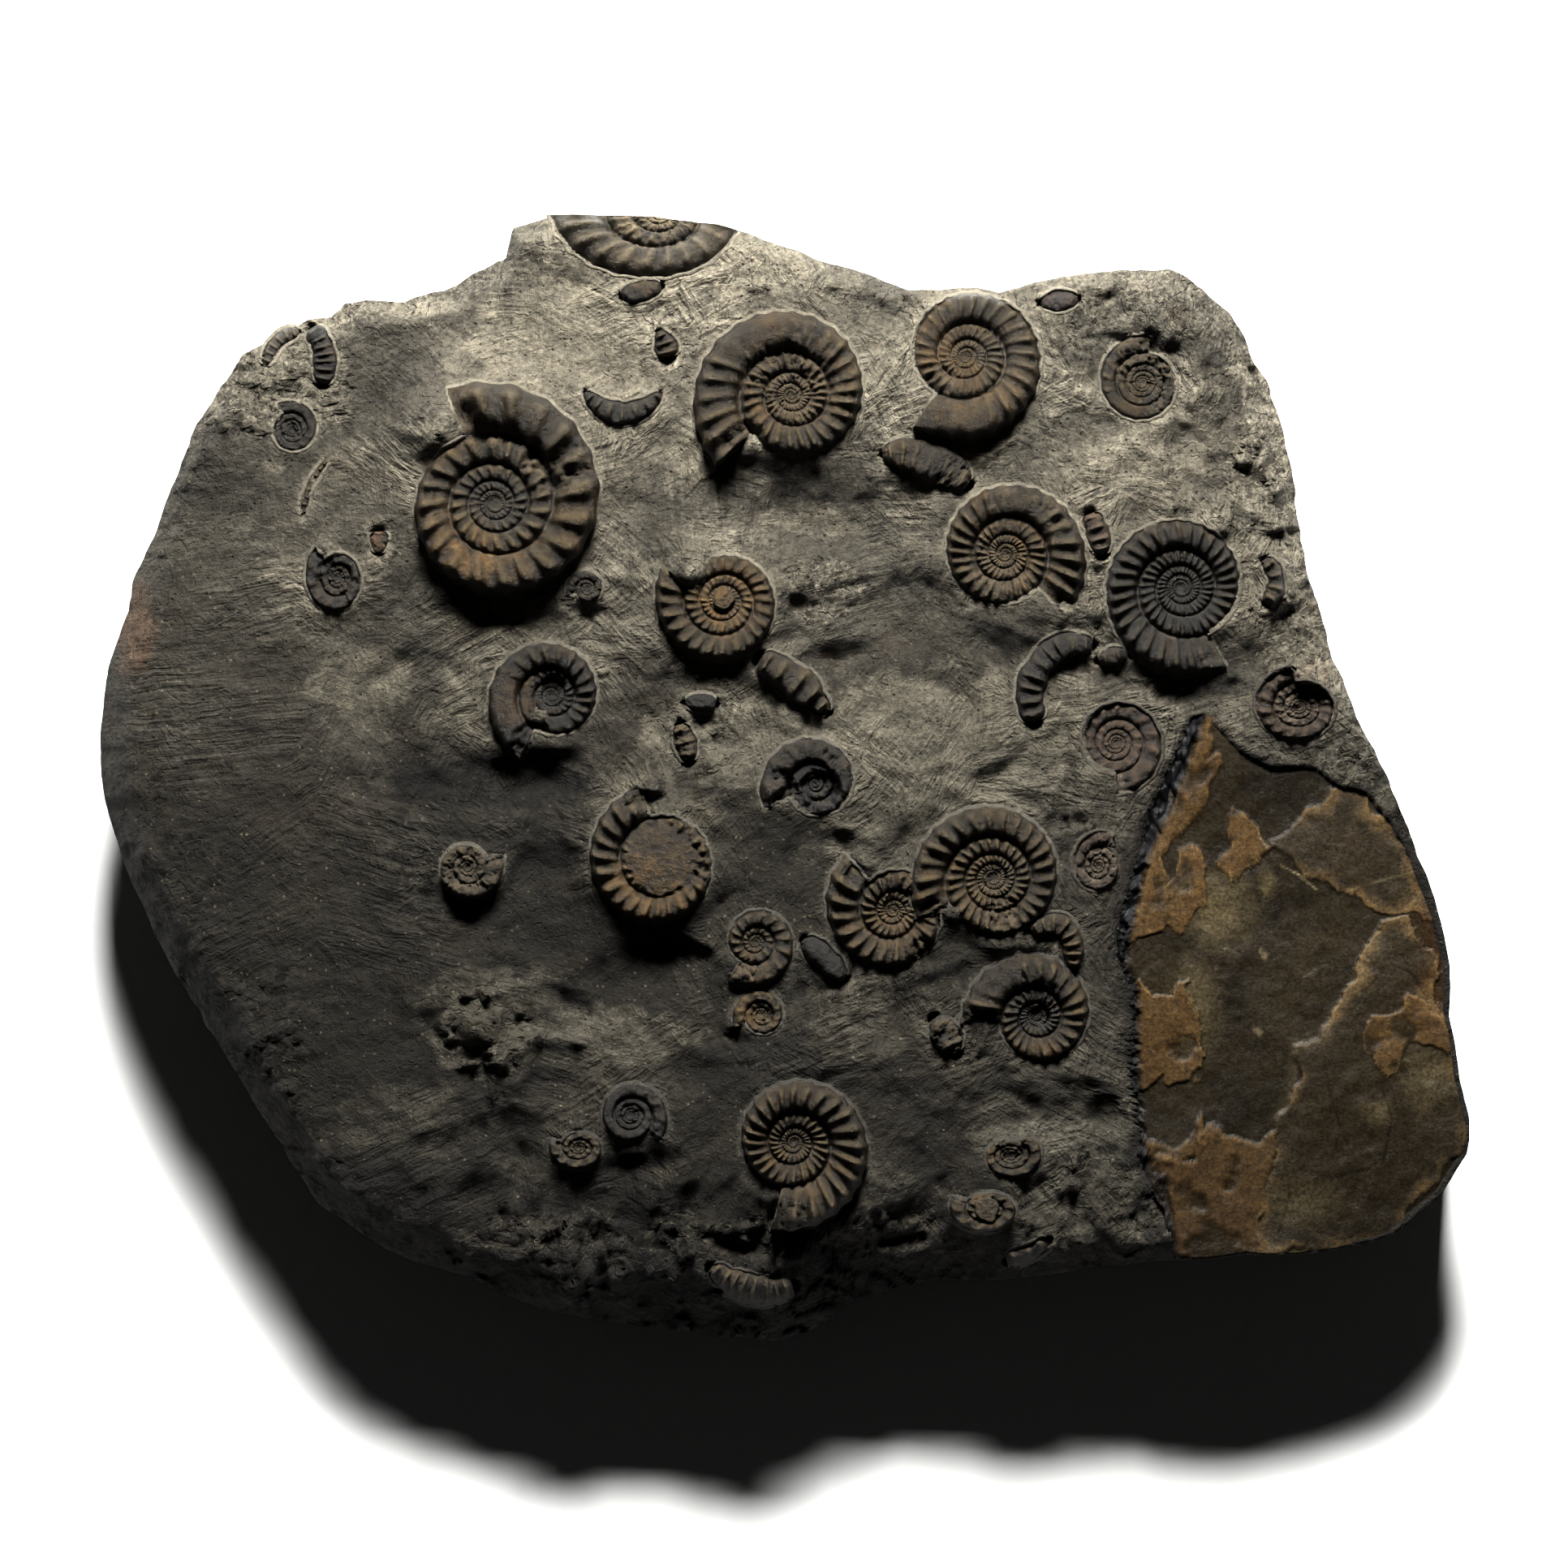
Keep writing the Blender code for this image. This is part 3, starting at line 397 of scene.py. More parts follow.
# Places where shell broke away: column, row, radius, depth in millimetres, roughness in millimetres
BREAKS = (
    (700, 581, 32, 1.1, 0.9), (704, 583, 7, 1.6, 0.2), (658, 566, 17, 1.5, 0.9), (600, 534, 16, 1.4, 0.9),
    (632, 544, 15, 1.3, 0.9), (566, 512, 16, 1.0, 0.6), (914, 548, 26, 1.6, 0.9),
    (940, 452, 26, 0.5, 0.6), (985, 430, 22, 0.3, 0.6), (985, 478, 56, 0.1, 0.35),
    (1160, 470, 20, 0.4, 0.5), (1292, 622, 24, 0.5, 0.5), (1312, 650, 16, 0.6, 0.6),
    (1235, 612, 20, 0.3, 0.4), (1225, 700, 40, 0.1, 0.3), (845, 690, 30, 0.2, 0.4),
    (658, 918, 26, 1.6, 0.8), (1011, 970, 21, 3.4, 0.2), (975, 994, 24, 2.6, 0.7),
    (960, 960, 16, 0.8, 0.8), (1030, 935, 14, 0.6, 0.7), (1040, 990, 14, 0.6, 0.8),
    (871, 1065, 18, 0.5, 0.6), (860, 1030, 14, 0.5, 0.6), (1234, 1125, 22, 1.3, 0.8),
    (1150, 1124, 16, 0.8, 0.6), (1135, 1174, 18, 1.0, 0.6), (1281, 1250, 12, 3.0, 0.2),
    (1205, 1259, 24, 1.6, 0.8), (975, 1494, 18, 1.0, 0.7), (915, 1195, 20, 0.5, 0.7),
    (940, 1250, 14, 1.6, 0.4), (1244, 1417, 18, 1.2, 0.3), (578, 1066, 40, 0.4, 0.9),
    (724, 726, 24, 0.2, 0.6), (417, 718, 26, 0.5, 0.6), (361, 530, 12, 0.5, 0.4),
    (1600, 868, 30, 0.8, 0.5), (1353, 1066, 26, 0.3, 0.6), (683, 846, 14, 2.4, 0.2),
    (1053, 1100, 10, 0.6, 0.3), (1175, 588, 24, 0.8, 0.9), (1110, 1110, 24, 0.2, 0.5),
    (800, 280, 46, 0.1, 0.5), (1440, 476, 34, 0.4, 1.0), (1225, 1082, 22, 0.1, 0.3),
    (1276, 1225, 30, 0.2, 0.4), (776, 1370, 16, 0.2, 0.4), (1010, 872, 14, 0.8, 0.6),
    (1166, 1275, 24, 0.2, 0.8), (846, 915, 20, 0.2, 0.7), (1400, 440, 30, 0.3, 0.5),
)
# Places where ribs are worn away or were never strong: column, row, radius
SMOOTH = (
    (965, 380, 62), (905, 410, 40), (1180, 540, 50), (1130, 520, 26), (626, 870, 44), (655, 900, 40),
    (1225, 1195, 34), (770, 1370, 30), (1380, 500, 30), (818, 1058, 44), (1430, 500, 30), (1005, 985, 60),
    (1258, 620, 40),
)
# Stains: column, row, radius, and warmth from -1, bluish black, to 1, tan
STAINS = (
    (550, 680, 70, 0.7), (612, 625, 42, -0.9), (600, 700, 60, 0.5), (985, 470, 66, 0.45),
    (1190, 470, 60, 0.3), (1235, 690, 50, 0.5), (893, 740, 46, 1.0), (805, 1120, 62, 1.0),
    (818, 1058, 40, 0.25), (1268, 1296, 30, 1.0), (1276, 1245, 34, -1.0), (1215, 1086, 44, 0.4),
    (640, 860, 40, 0.4), (912, 1254, 22, 1.0), (1210, 1420, 22, 0.7), (925, 1200, 30, 0.6),
    (930, 1425, 40, 0.5), (1100, 1125, 40, 0.4), (800, 275, 60, 0.35), (1376, 914, 30, 0.6),
    (1011, 970, 26, -1.0), (683, 846, 26, -1.0), (975, 994, 26, -0.8), (1455, 724, 50, -0.8),
    (468, 669, 20, 1.0),
)
# Whorls covered by a smooth plug of stone: column, row, radius, rise over the middle plane
PLUGS = ((817, 1058, 43, 2.4), (1053, 1078, 15, 3.2), (1216, 1488, 15, 1.6), (891, 738, 13, 1.2))
# The line in millimetres where the rock's far margin broke through the last ammonite
LAST_AMMONITE = "28"
FAR_BREAK = ((-75.0, 118.1), (-48.0, 118.5), (-29.0, 118.3), (-14.0, 116.4), (15.0, 108.6))
# A whorl's flank: share of the way in from the rim, and height as a share of the whorl's width
FLANK = (
    (0, 0.12), (0.04, 0.21), (0.1, 0.3), (0.18, 0.38), (0.28, 0.43), (0.45, 0.45), (0.62, 0.43),
    (0.78, 0.36), (0.9, 0.24), (1, 0.07),
)


def seat(x, y, reach):
    """Frame of a shell that lies on the rock: its Z is square to the slope under it."""
    left, right = ground(x - reach, y), ground(x + reach, y)
    near, far = ground(x, y - reach), ground(x, y + reach)
    up = Vector((float(left - right), float(near - far), 2 * reach)).normalized()
    level = float(left + right + near + far) / 4
    return Matrix.Translation((x, y, level)) @ Vector((0, 0, 1)).rotation_difference(up).to_matrix().to_4x4()


def moved(place, points):
    """Points, in rows of x, y and z, put where the frame says."""
    matrix = np.array(place)
    return points @ matrix[:3, :3].T + matrix[:3, 3]


def patched(x, y, table, blur):
    """How far each place lies in the patches of a table, with the rest of each patch's row."""
    for column, row, radius, *rest in table:
        apart = from_patch(x, y, column, row, radius, radius)
        if apart.min() < 1 + blur:
            yield ease((1 + blur / 2 - apart + 0.2 * lumps(x, y, 1.7, 3)) / blur), rest


def broken(x, y):
    """How far the surface is broken down, and how broken it is from 0 to 1."""
    drop, worn = np.zeros(np.shape(x)), np.zeros(np.shape(x))
    for share, (depth, rough) in patched(x, y, BREAKS, 0.35):
        drop += share * (depth + rough * (chips(x, y, 2.0, 5) + 0.6 * chips(x, y, 0.9, 6)))
        worn = np.maximum(worn, share)
    return drop, worn


def warmth(x, y):
    """Warmth of a shell's colour, from -1, bluish black, to 1, tan."""
    total = 0.35 * weathered(x, y, 9, 12)
    for share, (warm,) in patched(x, y, STAINS, 0.9):
        total = total + share * warm
    return np.clip(total, -1, 1)


def linear(code):
    """Linear colour of an sRGB hex code."""
    parts = [int(code[k : k + 2], 16) / 255 for k in (1, 3, 5)]
    return (*(part / 12.92 if part <= 0.04045 else ((part + 0.055) / 1.055) ** 2.4 for part in parts), 1.0)


def feed(target, inputs):
    """Gives a shader node's sockets, by name or number, a value or another node's output."""
    for key, value in inputs.items():
        if isinstance(value, bpy.types.NodeSocket):
            target.id_data.links.new(value, target.inputs[key])
        else:
            target.inputs[key].default_value = value


def node(material, kind, inputs=None, **settings):
    """Adds a shader node with its settings and its inputs, and returns its outputs."""
    made = material.node_tree.nodes.new("ShaderNode" + kind)
    for key, value in settings.items():
        setattr(made, key, value)
    feed(made, inputs or {})
    return made.outputs


def new_material(name):
    """A material and its surface shader."""
    material = bpy.data.materials.new(name)
    material.use_nodes = True
    return material, material.node_tree.nodes["Principled BSDF"]


MIX = {"data_type": "RGBA", "clamp_factor": True}  # settings of a node that lays one colour over another


def add_piece(name, points, faces, part, slot, material, breaks=(), **marks):
    """Makes a closed smooth mesh from points in millimetres, which stands for its CAD node. The marks
    are values at the points that the material reads. What lies beyond a line of breaks, a row of
    places from left to right, is cut away."""
    mesh = bpy.data.meshes.new(name)
    points = np.asarray(points) * MM
    if not breaks:
        points = np.clip(points, np.array(cad_box[0]), np.array(cad_box[1]) - 0.02 * MM)
    mesh.from_pydata(points.tolist(), [], faces)
    for key, values in marks.items():
        attribute = mesh.attributes.new(key, "FLOAT", "POINT")
        attribute.data.foreach_set("value", np.asarray(values, np.float32).ravel())
    shell = bmesh.new()
    shell.from_mesh(mesh)
    for (x0, y0), (x1, y1) in zip(breaks, breaks[1:]):
        whole = [*shell.verts, *shell.edges, *shell.faces]
        place, beyond = (x0 * MM, y0 * MM, 0), (y0 - y1, x1 - x0, 0)
        cut = bmesh.ops.bisect_plane(
            shell, geom=whole, dist=1e-7, plane_co=place, plane_no=beyond, clear_outer=True
        )["geom_cut"]
        open_edges = [edge for edge in cut if isinstance(edge, bmesh.types.BMEdge)]
        for edge in open_edges:
            edge.smooth = False
        bmesh.ops.holes_fill(shell, edges=open_edges, sides=0)
    bmesh.ops.recalc_face_normals(shell, faces=shell.faces)
    shell.to_mesh(mesh)
    shell.free()
    mesh.shade_smooth()
    mesh.materials.append(material)
    piece = bpy.data.objects.new(name, mesh)
    bpy.context.scene.collection.objects.link(piece)
    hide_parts(part)
    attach(piece, "root")


def shell_calcite(name, groove, body, crest, tan, black, worn):
    """Shell replaced by calcite and polished by the scribe's powder: satin, with a painted highlight
    on the rib crests, rough and dull where it broke, with the grey of the rock in the lip round it. Its
    grain is drawn at about 1 mm, which is coarser than the crystals are."""
    material, shader = new_material(name)
    place = node(material, "TexCoord")["Object"]
    grains = {"Vector": place, "Scale": 1000, "Detail": 5, "Roughness": 0.8}
    fine = node(material, "TexNoise", grains)["Fac"]
    clouds = {"Vector": place, "Scale": 330, "Detail": 6, "Roughness": 0.6}
    mottle = node(material, "TexNoise", clouds)["Fac"]
    marks = {
        key: node(material, "Attribute", attribute_name=key)["Fac"]
        for key in ("crest", "worn", "warm", "seam", "lip")
    }
    spread = node(material, "MapRange", {0: mottle, 1: 0.35, 2: 0.7})[0]
    painted_crest_highlight = node(material, "Math", {0: marks["crest"], 1: 0.5}, operation="MULTIPLY")[0]
    warm = node(material, "Math", {0: marks["warm"], 1: spread}, operation="MULTIPLY")[0]
    cool = node(material, "Math", {0: marks["warm"], 1: -0.9}, operation="MULTIPLY")[0]
    ragged = node(material, "Math", {0: marks["worn"], 1: mottle}, operation="MULTIPLY")[0]
    broke = node(material, "MapRange", {0: ragged, 1: 0.42, 2: 0.62, 4: 0.8})[0]
    dusty = node(material, "Math", {0: marks["seam"], 1: mottle}, operation="MULTIPLY")[0]
    dusty = node(material, "MapRange", {0: dusty, 1: 0.25, 2: 0.55, 4: 0.6})[0]
    # The rock of the lip and its dust, both paler towards the far side of the plate as on the slab: partly
    # dust, partly painted falloff of the lamp's light
    depth = node(material, "SeparateXYZ", {0: place})["Y"]
    depth = node(material, "MapRange", {0: depth, 1: -0.06, 2: 0.11})[0]
    rock = node(material, "Mix", {0: depth, 6: linear("#2c2922"), 7: linear("#5d584c")}, **MIX)[2]
    powder = node(material, "Mix", {0: depth, 6: linear("#49453b"), 7: linear("#777061")}, **MIX)[2]
    stone = node(material, "MapRange", {0: marks["lip"], 1: 0.1, 2: 0.5})[0]
    dust = node(material, "TexNoise", {"Vector": place, "Scale": 160, "Detail": 4, "Roughness": 0.6})["Fac"]
    pale = node(material, "Math", {0: marks["lip"], 1: dust}, operation="MULTIPLY")[0]
    pale = node(material, "MapRange", {0: pale, 1: 0.36, 2: 0.6, 4: 0.6})[0]
    colour = linear(groove)
    for share, over in (
        (spread, linear(body)), (painted_crest_highlight, linear(crest)), (warm, linear(tan)), (cool, linear(black)),
        (broke, linear(worn)), (dusty, linear("#645c4c")), (stone, rock), (pale, powder),
    ):
        colour = node(material, "Mix", {0: share, 6: colour, 7: over}, **MIX)[2]
    speckle = node(material, "MapRange", {0: fine, 1: 0.3, 2: 0.7, 3: 0.42, 4: 1.6})[0]
    gloss = node(material, "MapRange", {0: fine, 1: 0.3, 2: 0.7, 3: 0.24, 4: 0.44})[0]
    dull = node(material, "Math", {0: marks["worn"], 1: marks["lip"]}, operation="MAXIMUM")[0]
    dull = node(material, "Math", {0: dull, 1: 0.35}, operation="MULTIPLY")[0]
    relief = node(material, "Math", {0: fine, 1: mottle})[0]
    feed(shader, {
        "Base Color": node(material, "VectorMath", {0: colour, 3: speckle}, operation="SCALE")[0],
        "Roughness": node(material, "Math", {0: gloss, 1: dull})[0],
        "Normal": node(material, "Bump", {"Height": relief, "Distance": 0.0007, "Strength": 0.9})[0],
        "IOR": 1.5,
        "Specular IOR Level": 0.5,
    })
    return material


# The finishes that shells of this plate have
FINISHES = {
    "brown": shell_calcite(
        "grey_brown_shell_calcite", "#141008", "#2b2314", "#4b412c", "#4d3b1f", "#12100c", "#3b3325"
    ),
    "black": shell_calcite(
        "black_shell_calcite", "#0d0b07", "#1c170e", "#352e1f", "#443520", "#0d0c09", "#262016"
    ),
    "rusty": shell_calcite(
        "rusty_shell_calcite", "#1b150e", "#33281c", "#4f4334", "#4f3a25", "#17120e", "#443729"
    ),
    "pale": shell_calcite(
        "pale_brown_shell_calcite", "#1c1812", "#3a3427", "#5a5140", "#4f4028", "#17140f", "#5a503e"
    ),
    "faded": shell_calcite(
        "faded_shell_calcite", "#18130c", "#30251a", "#45392b", "#433424", "#16120e", "#484034"
    ),
}
# The lip of rock round a shell, line by line: how far out, how far over the rock, and how pale
LIP = ((0.0, 0.03, 0.6), (0.35, 0.07, 0.8), (0.8, -0.08, 0.6), (0.7, -5.5, 0.4))
FADED_LIP = 0.45  # share of that paleness round a faded shell


def quads(numbers):
    """Faces between the points of a grid, from its point numbers."""
    corners = numbers[:-1, :-1], numbers[1:, :-1], numbers[1:, 1:], numbers[:-1, 1:]
    return list(zip(*(corner.ravel() for corner in corners)))


def lip_rows(line, out):
    """Rows of points that lead from a shell's foot over the lip of rock and down into it."""
    rows = []
    for width, over, _ in LIP:
        row = line.copy()
        row[:, :2] += out * width
        row[:, 2] = rock_top(row[:, 0], row[:, 1])[0] + over
        rows.append(row)
    return rows


def add_ammonite(number, column, row, radius, mouth, turn, growth, ribs, lift, share_x, share_y, rib_height,
                 sink, filled, finish):
    """A coil as one closed mesh. Columns of points run along it by the angle behind the mouth, in
    degrees, and rows run inward from the outer rim to the seam, which is the next whorl's rim. Small
    shells get fewer points and whorls."""
    seed = int(number)
    x, y = plan(column, row)
    radius *= STEP
    frame_here = seat(x, y, 0.7 * radius)
    width_share = 1 - 1 / growth
    middle = lift * radius * width_share
    around = 216 if radius > 15 else 168 if radius > 9 else 120
    rows, whorls = (12, 5) if radius > 9 else (10, 4)
    count = whorls * around
    behind = np.linspace(-360 * whorls, 0, count + 1)[:, None]
    spread = np.linspace(0, 1, rows + 1)[None, :-1]
    inward = 0.5 * spread + 0.5 * (0.5 - 0.5 * np.cos(np.pi * spread))

    # Ribs: where they run, how each differs from the next, and how they fade over the whorl's width
    phase = ribs * behind / 360
    phase = phase + 0.22 * lumps(phase, 0 * phase, 2.3, seed) + 0.25 * (inward - 0.4)
    ridge = (0.5 + 0.5 * np.cos(2 * np.pi * phase)) ** 1.7
    ridge = ridge * (1 + 0.35 * lumps(np.round(phase), 0 * phase, 1.0, seed + 40))
    envelope = ease((inward - 0.08) / 0.14) * (1 - 0.65 * ease((inward - 0.35) / 0.65))
    envelope = envelope + 0.35 * np.exp(-(((inward - 0.25) / 0.08) ** 2))
    envelope = envelope * (0.8 + 0.2 * ease((behind + 900) / 360))

    # Places in the shell's own frame, and over the rock
    reach = radius * growth ** (behind / 360)
    section = reach * width_share
    angle = np.radians(mouth + turn * behind)
    away = reach - inward * section + 0.05 * section * (ridge - 0.4) * np.exp(-((inward / 0.15) ** 2))
    flat_x, flat_y = away * np.cos(angle) * share_x, away * np.sin(angle) * share_y
    flat = np.stack([flat_x, flat_y, 0 * away + middle], axis=-1)
    over = moved(frame_here, flat)
    plain = np.ones(np.shape(away))
    for share, _ in patched(over[..., 0], over[..., 1], SMOOTH, 0.8):
        plain = plain * (1 - 0.85 * share)
    crest = ridge * envelope * plain

    # Height over the middle plane: flank and ribs, a groove at the seam, a ragged mouth, plugs, breaks
    height = np.interp(inward, *zip(*FLANK)) + 1.85 * rib_height * (crest - 0.25 * envelope * plain)
    height -= 0.07 * np.exp(-(((1 - inward) / 0.09) ** 2))
    whole = ease((-behind - 1 + 9 * weathered(3 * inward, 0 * away, 1.0, seed + 30, 2)) / 14)
    whole = 1 - (1 - whole) * (0.35 + 0.5 * min(filled, 1.0))
    height = 0.06 + (height - 0.06) * whole
    flat[..., 2] += height * section - sink * (1 - reach / radius)
    plugged = np.zeros(np.shape(away))
    for share, (rise,) in patched(over[..., 0], over[..., 1], PLUGS, 0.12):
        flat[..., 2] += share * (middle + rise - 0.02 * (flat_x**2 + flat_y**2) - flat[..., 2])
        plugged = np.maximum(plugged, share)
    drop, worn = broken(over[..., 0], over[..., 1])
    worn = np.maximum(worn, 1.6 * (1 - whole) + 0 * away)
    flat[..., 2] += 0.15 * weathered(over[..., 0], over[..., 1], 3.5, seed)
    flat[..., 2] += (0.07 + 0.3 * worn) * chips(over[..., 0], over[..., 1], 1.4, seed + 20)
    flat[..., 2] -= drop * np.minimum(1, section / 4)
    hub = np.array([0, 0, flat[:around, -1, 2].mean()])

    # The upper side's faces; the innermost whorl closes on the hub with triangles
    number_of = np.arange(flat.shape[0] * rows).reshape(flat.shape[0], rows)
    centre = number_of.size
    inner_seam = np.full(count + 1, centre)
    inner_seam[around:] = number_of[: count + 1 - around, 0]
    grid = np.column_stack([number_of, inner_seam])
    faces = [(a, b, c) if c == d else (a, b, c, d) for a, b, c, d in quads(grid)]
    faces.append([*number_of[0], centre])
    top = moved(frame_here, np.vstack([flat.reshape(-1, 3), hub[None]]))
    top[:, 2] = np.minimum(top[:, 2], cad_box[1].z / MM - 0.05)

    # Outer wall, the lip of rock against it, and the broken mouth
    rim = top[number_of[-around - 1 :, 0]]
    out = rim[:, :2] - (x, y)
    out /= np.hypot(*out.T)[:, None]
    face = top[grid[-1]]
    ahead = turn * np.array([-out[-1, 1], out[-1, 0]])
    points = [top]
    wall_numbers, mouth_numbers = [number_of[-around - 1 :, 0]], [grid[-1]]
    total = centre + 1
    lips = []
    for line, inside in zip(lip_rows(rim, out), lip_rows(face[1:-1], ahead)):
        inside[:, :2] += ahead * 0.5 * lumps(inside[:, :1] * 3, inside[:, 1:2], 1.5, seed + 7)
        points += [line, inside]
        wall_numbers.append(np.arange(total, total + len(line)))
        total += len(line)
        ends = wall_numbers[-1][-1:], wall_numbers[-1][:1]
        mouth_numbers.append(np.concatenate([ends[0], np.arange(total, total + len(inside)), ends[1]]))
        total += len(inside)
        lips += [LIP[len(lips) // 2][2] * (FADED_LIP if finish == "faded" else 1.0)] * 2
    for table in (wall_numbers, mouth_numbers):
        for upper, lower in zip(table, table[1:]):
            faces += list(zip(upper[:-1], upper[1:], lower[1:], lower[:-1]))
    faces.append([*wall_numbers[-1], *mouth_numbers[-1][1:-1]])
    paleness = np.concatenate([np.full(len(block), value) for block, value in zip(points[1:], lips)])
    extra = total - centre
    over_x, over_y = over[..., 0], over[..., 1]
    seam = np.exp(-(((1 - inward) / 0.07) ** 2)) * ease((behind + 760) / 60) + 0 * away
    # Painted highlight: the crests of the inner whorls are made paler still
    crest = np.clip(crest * (1 + 0.9 * ease((-behind - 400) / 200)), 0, 1)
    marks = {
        "crest": np.append(crest.ravel(), np.zeros(extra)),
        "worn": np.append(np.maximum(worn, 0.35 * plugged).ravel(), np.full(extra, 0.7)),
        "warm": np.append(warmth(over_x, over_y).ravel(), np.zeros(extra)),
        "seam": np.append(seam.ravel(), np.zeros(extra)),
        "lip": np.append(np.zeros(centre + 1), paleness),
    }
    name = "ammonite_" + number
    breaks = FAR_BREAK if number == LAST_AMMONITE else ()
    points = np.vstack(points)
    add_piece(name + "_shell", points, faces, name, "fossil_calcite", FINISHES[finish], breaks, **marks)


for row in AMMONITES:
    add_ammonite(*row)

# Broken lengths of whorl and other shells, each a low ridge of calcite with its underside in the
# rock. Some are ribbed across. They lie as they were buried and are held by the rock.

# Slot names passed for pieces with one of their own; all others are passed the ammonites' slot name
SLOTS = {"bivalve_shell": "bivalve_calcite", "shell_piece": "pale_shell", "ribbed_strip": "pale_shell"}


def add_length(seed, name, rise, ribs, finish, path):
    """A ridge of shell: points run along its middle line, and rows across it from lip to lip."""
    # The middle line, its corners cut twice, then even points along it that crowd at the ends
    line = np.array([(*plan(column, row), half * STEP) for column, row, half in path])
    for _ in range(2):
        quarter = line[:-1] + (line[1:] - line[:-1]) * 0.25
        three = line[:-1] + (line[1:] - line[:-1]) * 0.75
        line = np.vstack([line[:1], np.stack([quarter, three], axis=1).reshape(-1, 3), line[-1:]])
    x, y = line[:, :2].mean(axis=0)
    frame_here = seat(x, y, 4.0)
    along = np.concatenate([[0], np.cumsum(np.hypot(*np.diff(line[:, :2], axis=0).T))])
    count = max(44, 14 * ribs)
    even = np.linspace(0, 1, count + 1)
    at = along[-1] * (0.6 * even + 0.4 * (0.5 - 0.5 * np.cos(np.pi * even)))
    middle = np.column_stack([np.interp(at, along, line[:, axis]) for axis in (0, 1)])
    end = np.minimum(at, along[-1] - at) + 0.02
    blunt = np.sqrt(1 - (1 - np.minimum(1, end / (1.1 * line[:, 2].min()))) ** 2)
    half = np.interp(at, along, line[:, 2]) * (0.4 + 0.6 * blunt)
    half *= 1 + 0.16 * weathered(at, 0 * at, 2.6, seed + 9, 2)
    forward = np.gradient(middle, axis=0)
    forward /= np.hypot(*forward.T)[:, None]
    side = np.column_stack([-forward[:, 1], forward[:, 0]])
    across = np.sin(np.linspace(-np.pi / 2, np.pi / 2, 17))
    phase = max(ribs, 1) * at / along[-1] + 0.2 * lumps(at, 0 * at, 2.5, seed)
    ridge = ((0.5 - 0.5 * np.cos(2 * np.pi * phase)) ** 2.6)[:, None]
    ridge = ridge * np.clip(1.3 - np.abs(across) ** 3 * 1.3, 0, 1) * (ribs > 0)
    flat = np.zeros((count + 1, len(across), 3))
    flat[..., :2] = middle[:, None] + side[:, None] * (half[:, None] * across)[..., None]
    x_here, y_here = flat[..., 0], flat[..., 1]
    for share, _ in patched(x_here, y_here, SMOOTH, 0.8):
        ridge = ridge * (1 - 0.85 * share)
    # Height over the rock: an arch with its ribs, broken and split where it ends
    drop, worn = broken(x_here, y_here)
    arch = (1 - np.abs(across) ** 2.6) ** 0.7
    top = rise * (0.72 * arch * blunt[:, None] + 0.3 * ridge * arch * blunt[:, None])
    split = np.exp(-((end / 1.6) ** 2))[:, None] + 0 * x_here
    worn = np.maximum(worn, split)
    top += 0.4 * weathered(x_here, y_here, 3.0, seed + 60) - drop
    top += 0.22 * chips(x_here, y_here, 1.5, seed + 70)
    top += split * (0.5 * chips(x_here, y_here, 1.8, seed + 80) - 0.3)
    base = moved(frame_here, np.stack([x_here - x, y_here - y, 0 * x_here], axis=-1))[..., 2]
    flat[..., 2] = base + top
    left = [row[:, None] for row in lip_rows(flat[:, 0], -side)][::-1]
    right = [row[:, None] for row in lip_rows(flat[:, -1], side)]
    whole = np.concatenate([*left, flat, *right], axis=1)
    numbers = np.arange(whole.shape[0] * whole.shape[1]).reshape(whole.shape[:2])
    faces = quads(numbers) + list(zip(numbers[:-1, 0], numbers[1:, 0], numbers[1:, -1], numbers[:-1, -1]))
    faces += [list(numbers[0]), list(numbers[-1])]
    pale = [value for _, _, value in LIP]
    lips = np.concatenate([pale[::-1], np.zeros(len(across)), pale]) + np.zeros((count + 1, 1))
    wide = ((0, 0), (len(LIP), len(LIP)))
    marks = {
        "crest": np.pad(np.clip(ridge, 0, 1), wide),
        "worn": np.pad(np.maximum(worn, 0.45), wide),
        "warm": np.pad(warmth(x_here, y_here), wide),
        "seam": np.zeros(numbers.shape),
        "lip": lips,
    }
    slot = SLOTS.get(name, "fossil_calcite")
    add_piece(name + "_body", whole.reshape(-1, 3), faces, name, slot, FINISHES[finish], **marks)


for index, row in enumerate(LENGTHS):
    add_length(index, *row)

# Limestone slab. One piece of fine dark grey limestone: its top was lowered with an air scribe, which
# left patches of short straight strokes and grey dust, and its margins and sides are broken rock.
TOP_GRID = 276  # quads along each side of the grid that is bent over the top
WAIST = 0.5  # share of the way down at which the sides change their lean
SIDE_ROWS = 13
FAR_LIMIT = 118.6  # millimetres beyond the middle that no point passes
# The back is a little hollow: share of the foot's reach, and mean height of the hollow there
BACK = ((0.97, 0.15), (0.8, 0.4), (0.45, 0.3))


def bent_grid(count):
    """A square grid bent over a disc: share of the reach and direction of each point."""
    line = np.linspace(-1, 1, count + 1)
    a, b = np.meshgrid(line, line, indexing="ij")
    wide = np.abs(a) > np.abs(b)
    first, second = np.where(wide, a, b), np.where(wide, b, a)
    turn = np.pi / 4 * second / np.where(first == 0, 1, first)
    turn = np.where(wide, turn, np.pi / 2 - turn)
    return np.abs(first), np.degrees(np.where(first < 0, turn + np.pi, turn)) % 360


def grid_faces(count):
    """Faces of the bent grid, and the point numbers round its border."""
    numbers = np.arange((count + 1) ** 2).reshape(count + 1, count + 1)
    ring = np.concatenate([numbers[0, :-1], numbers[:-1, -1], numbers[-1, :0:-1], numbers[:0:-1, 0]])
    return quads(numbers), ring


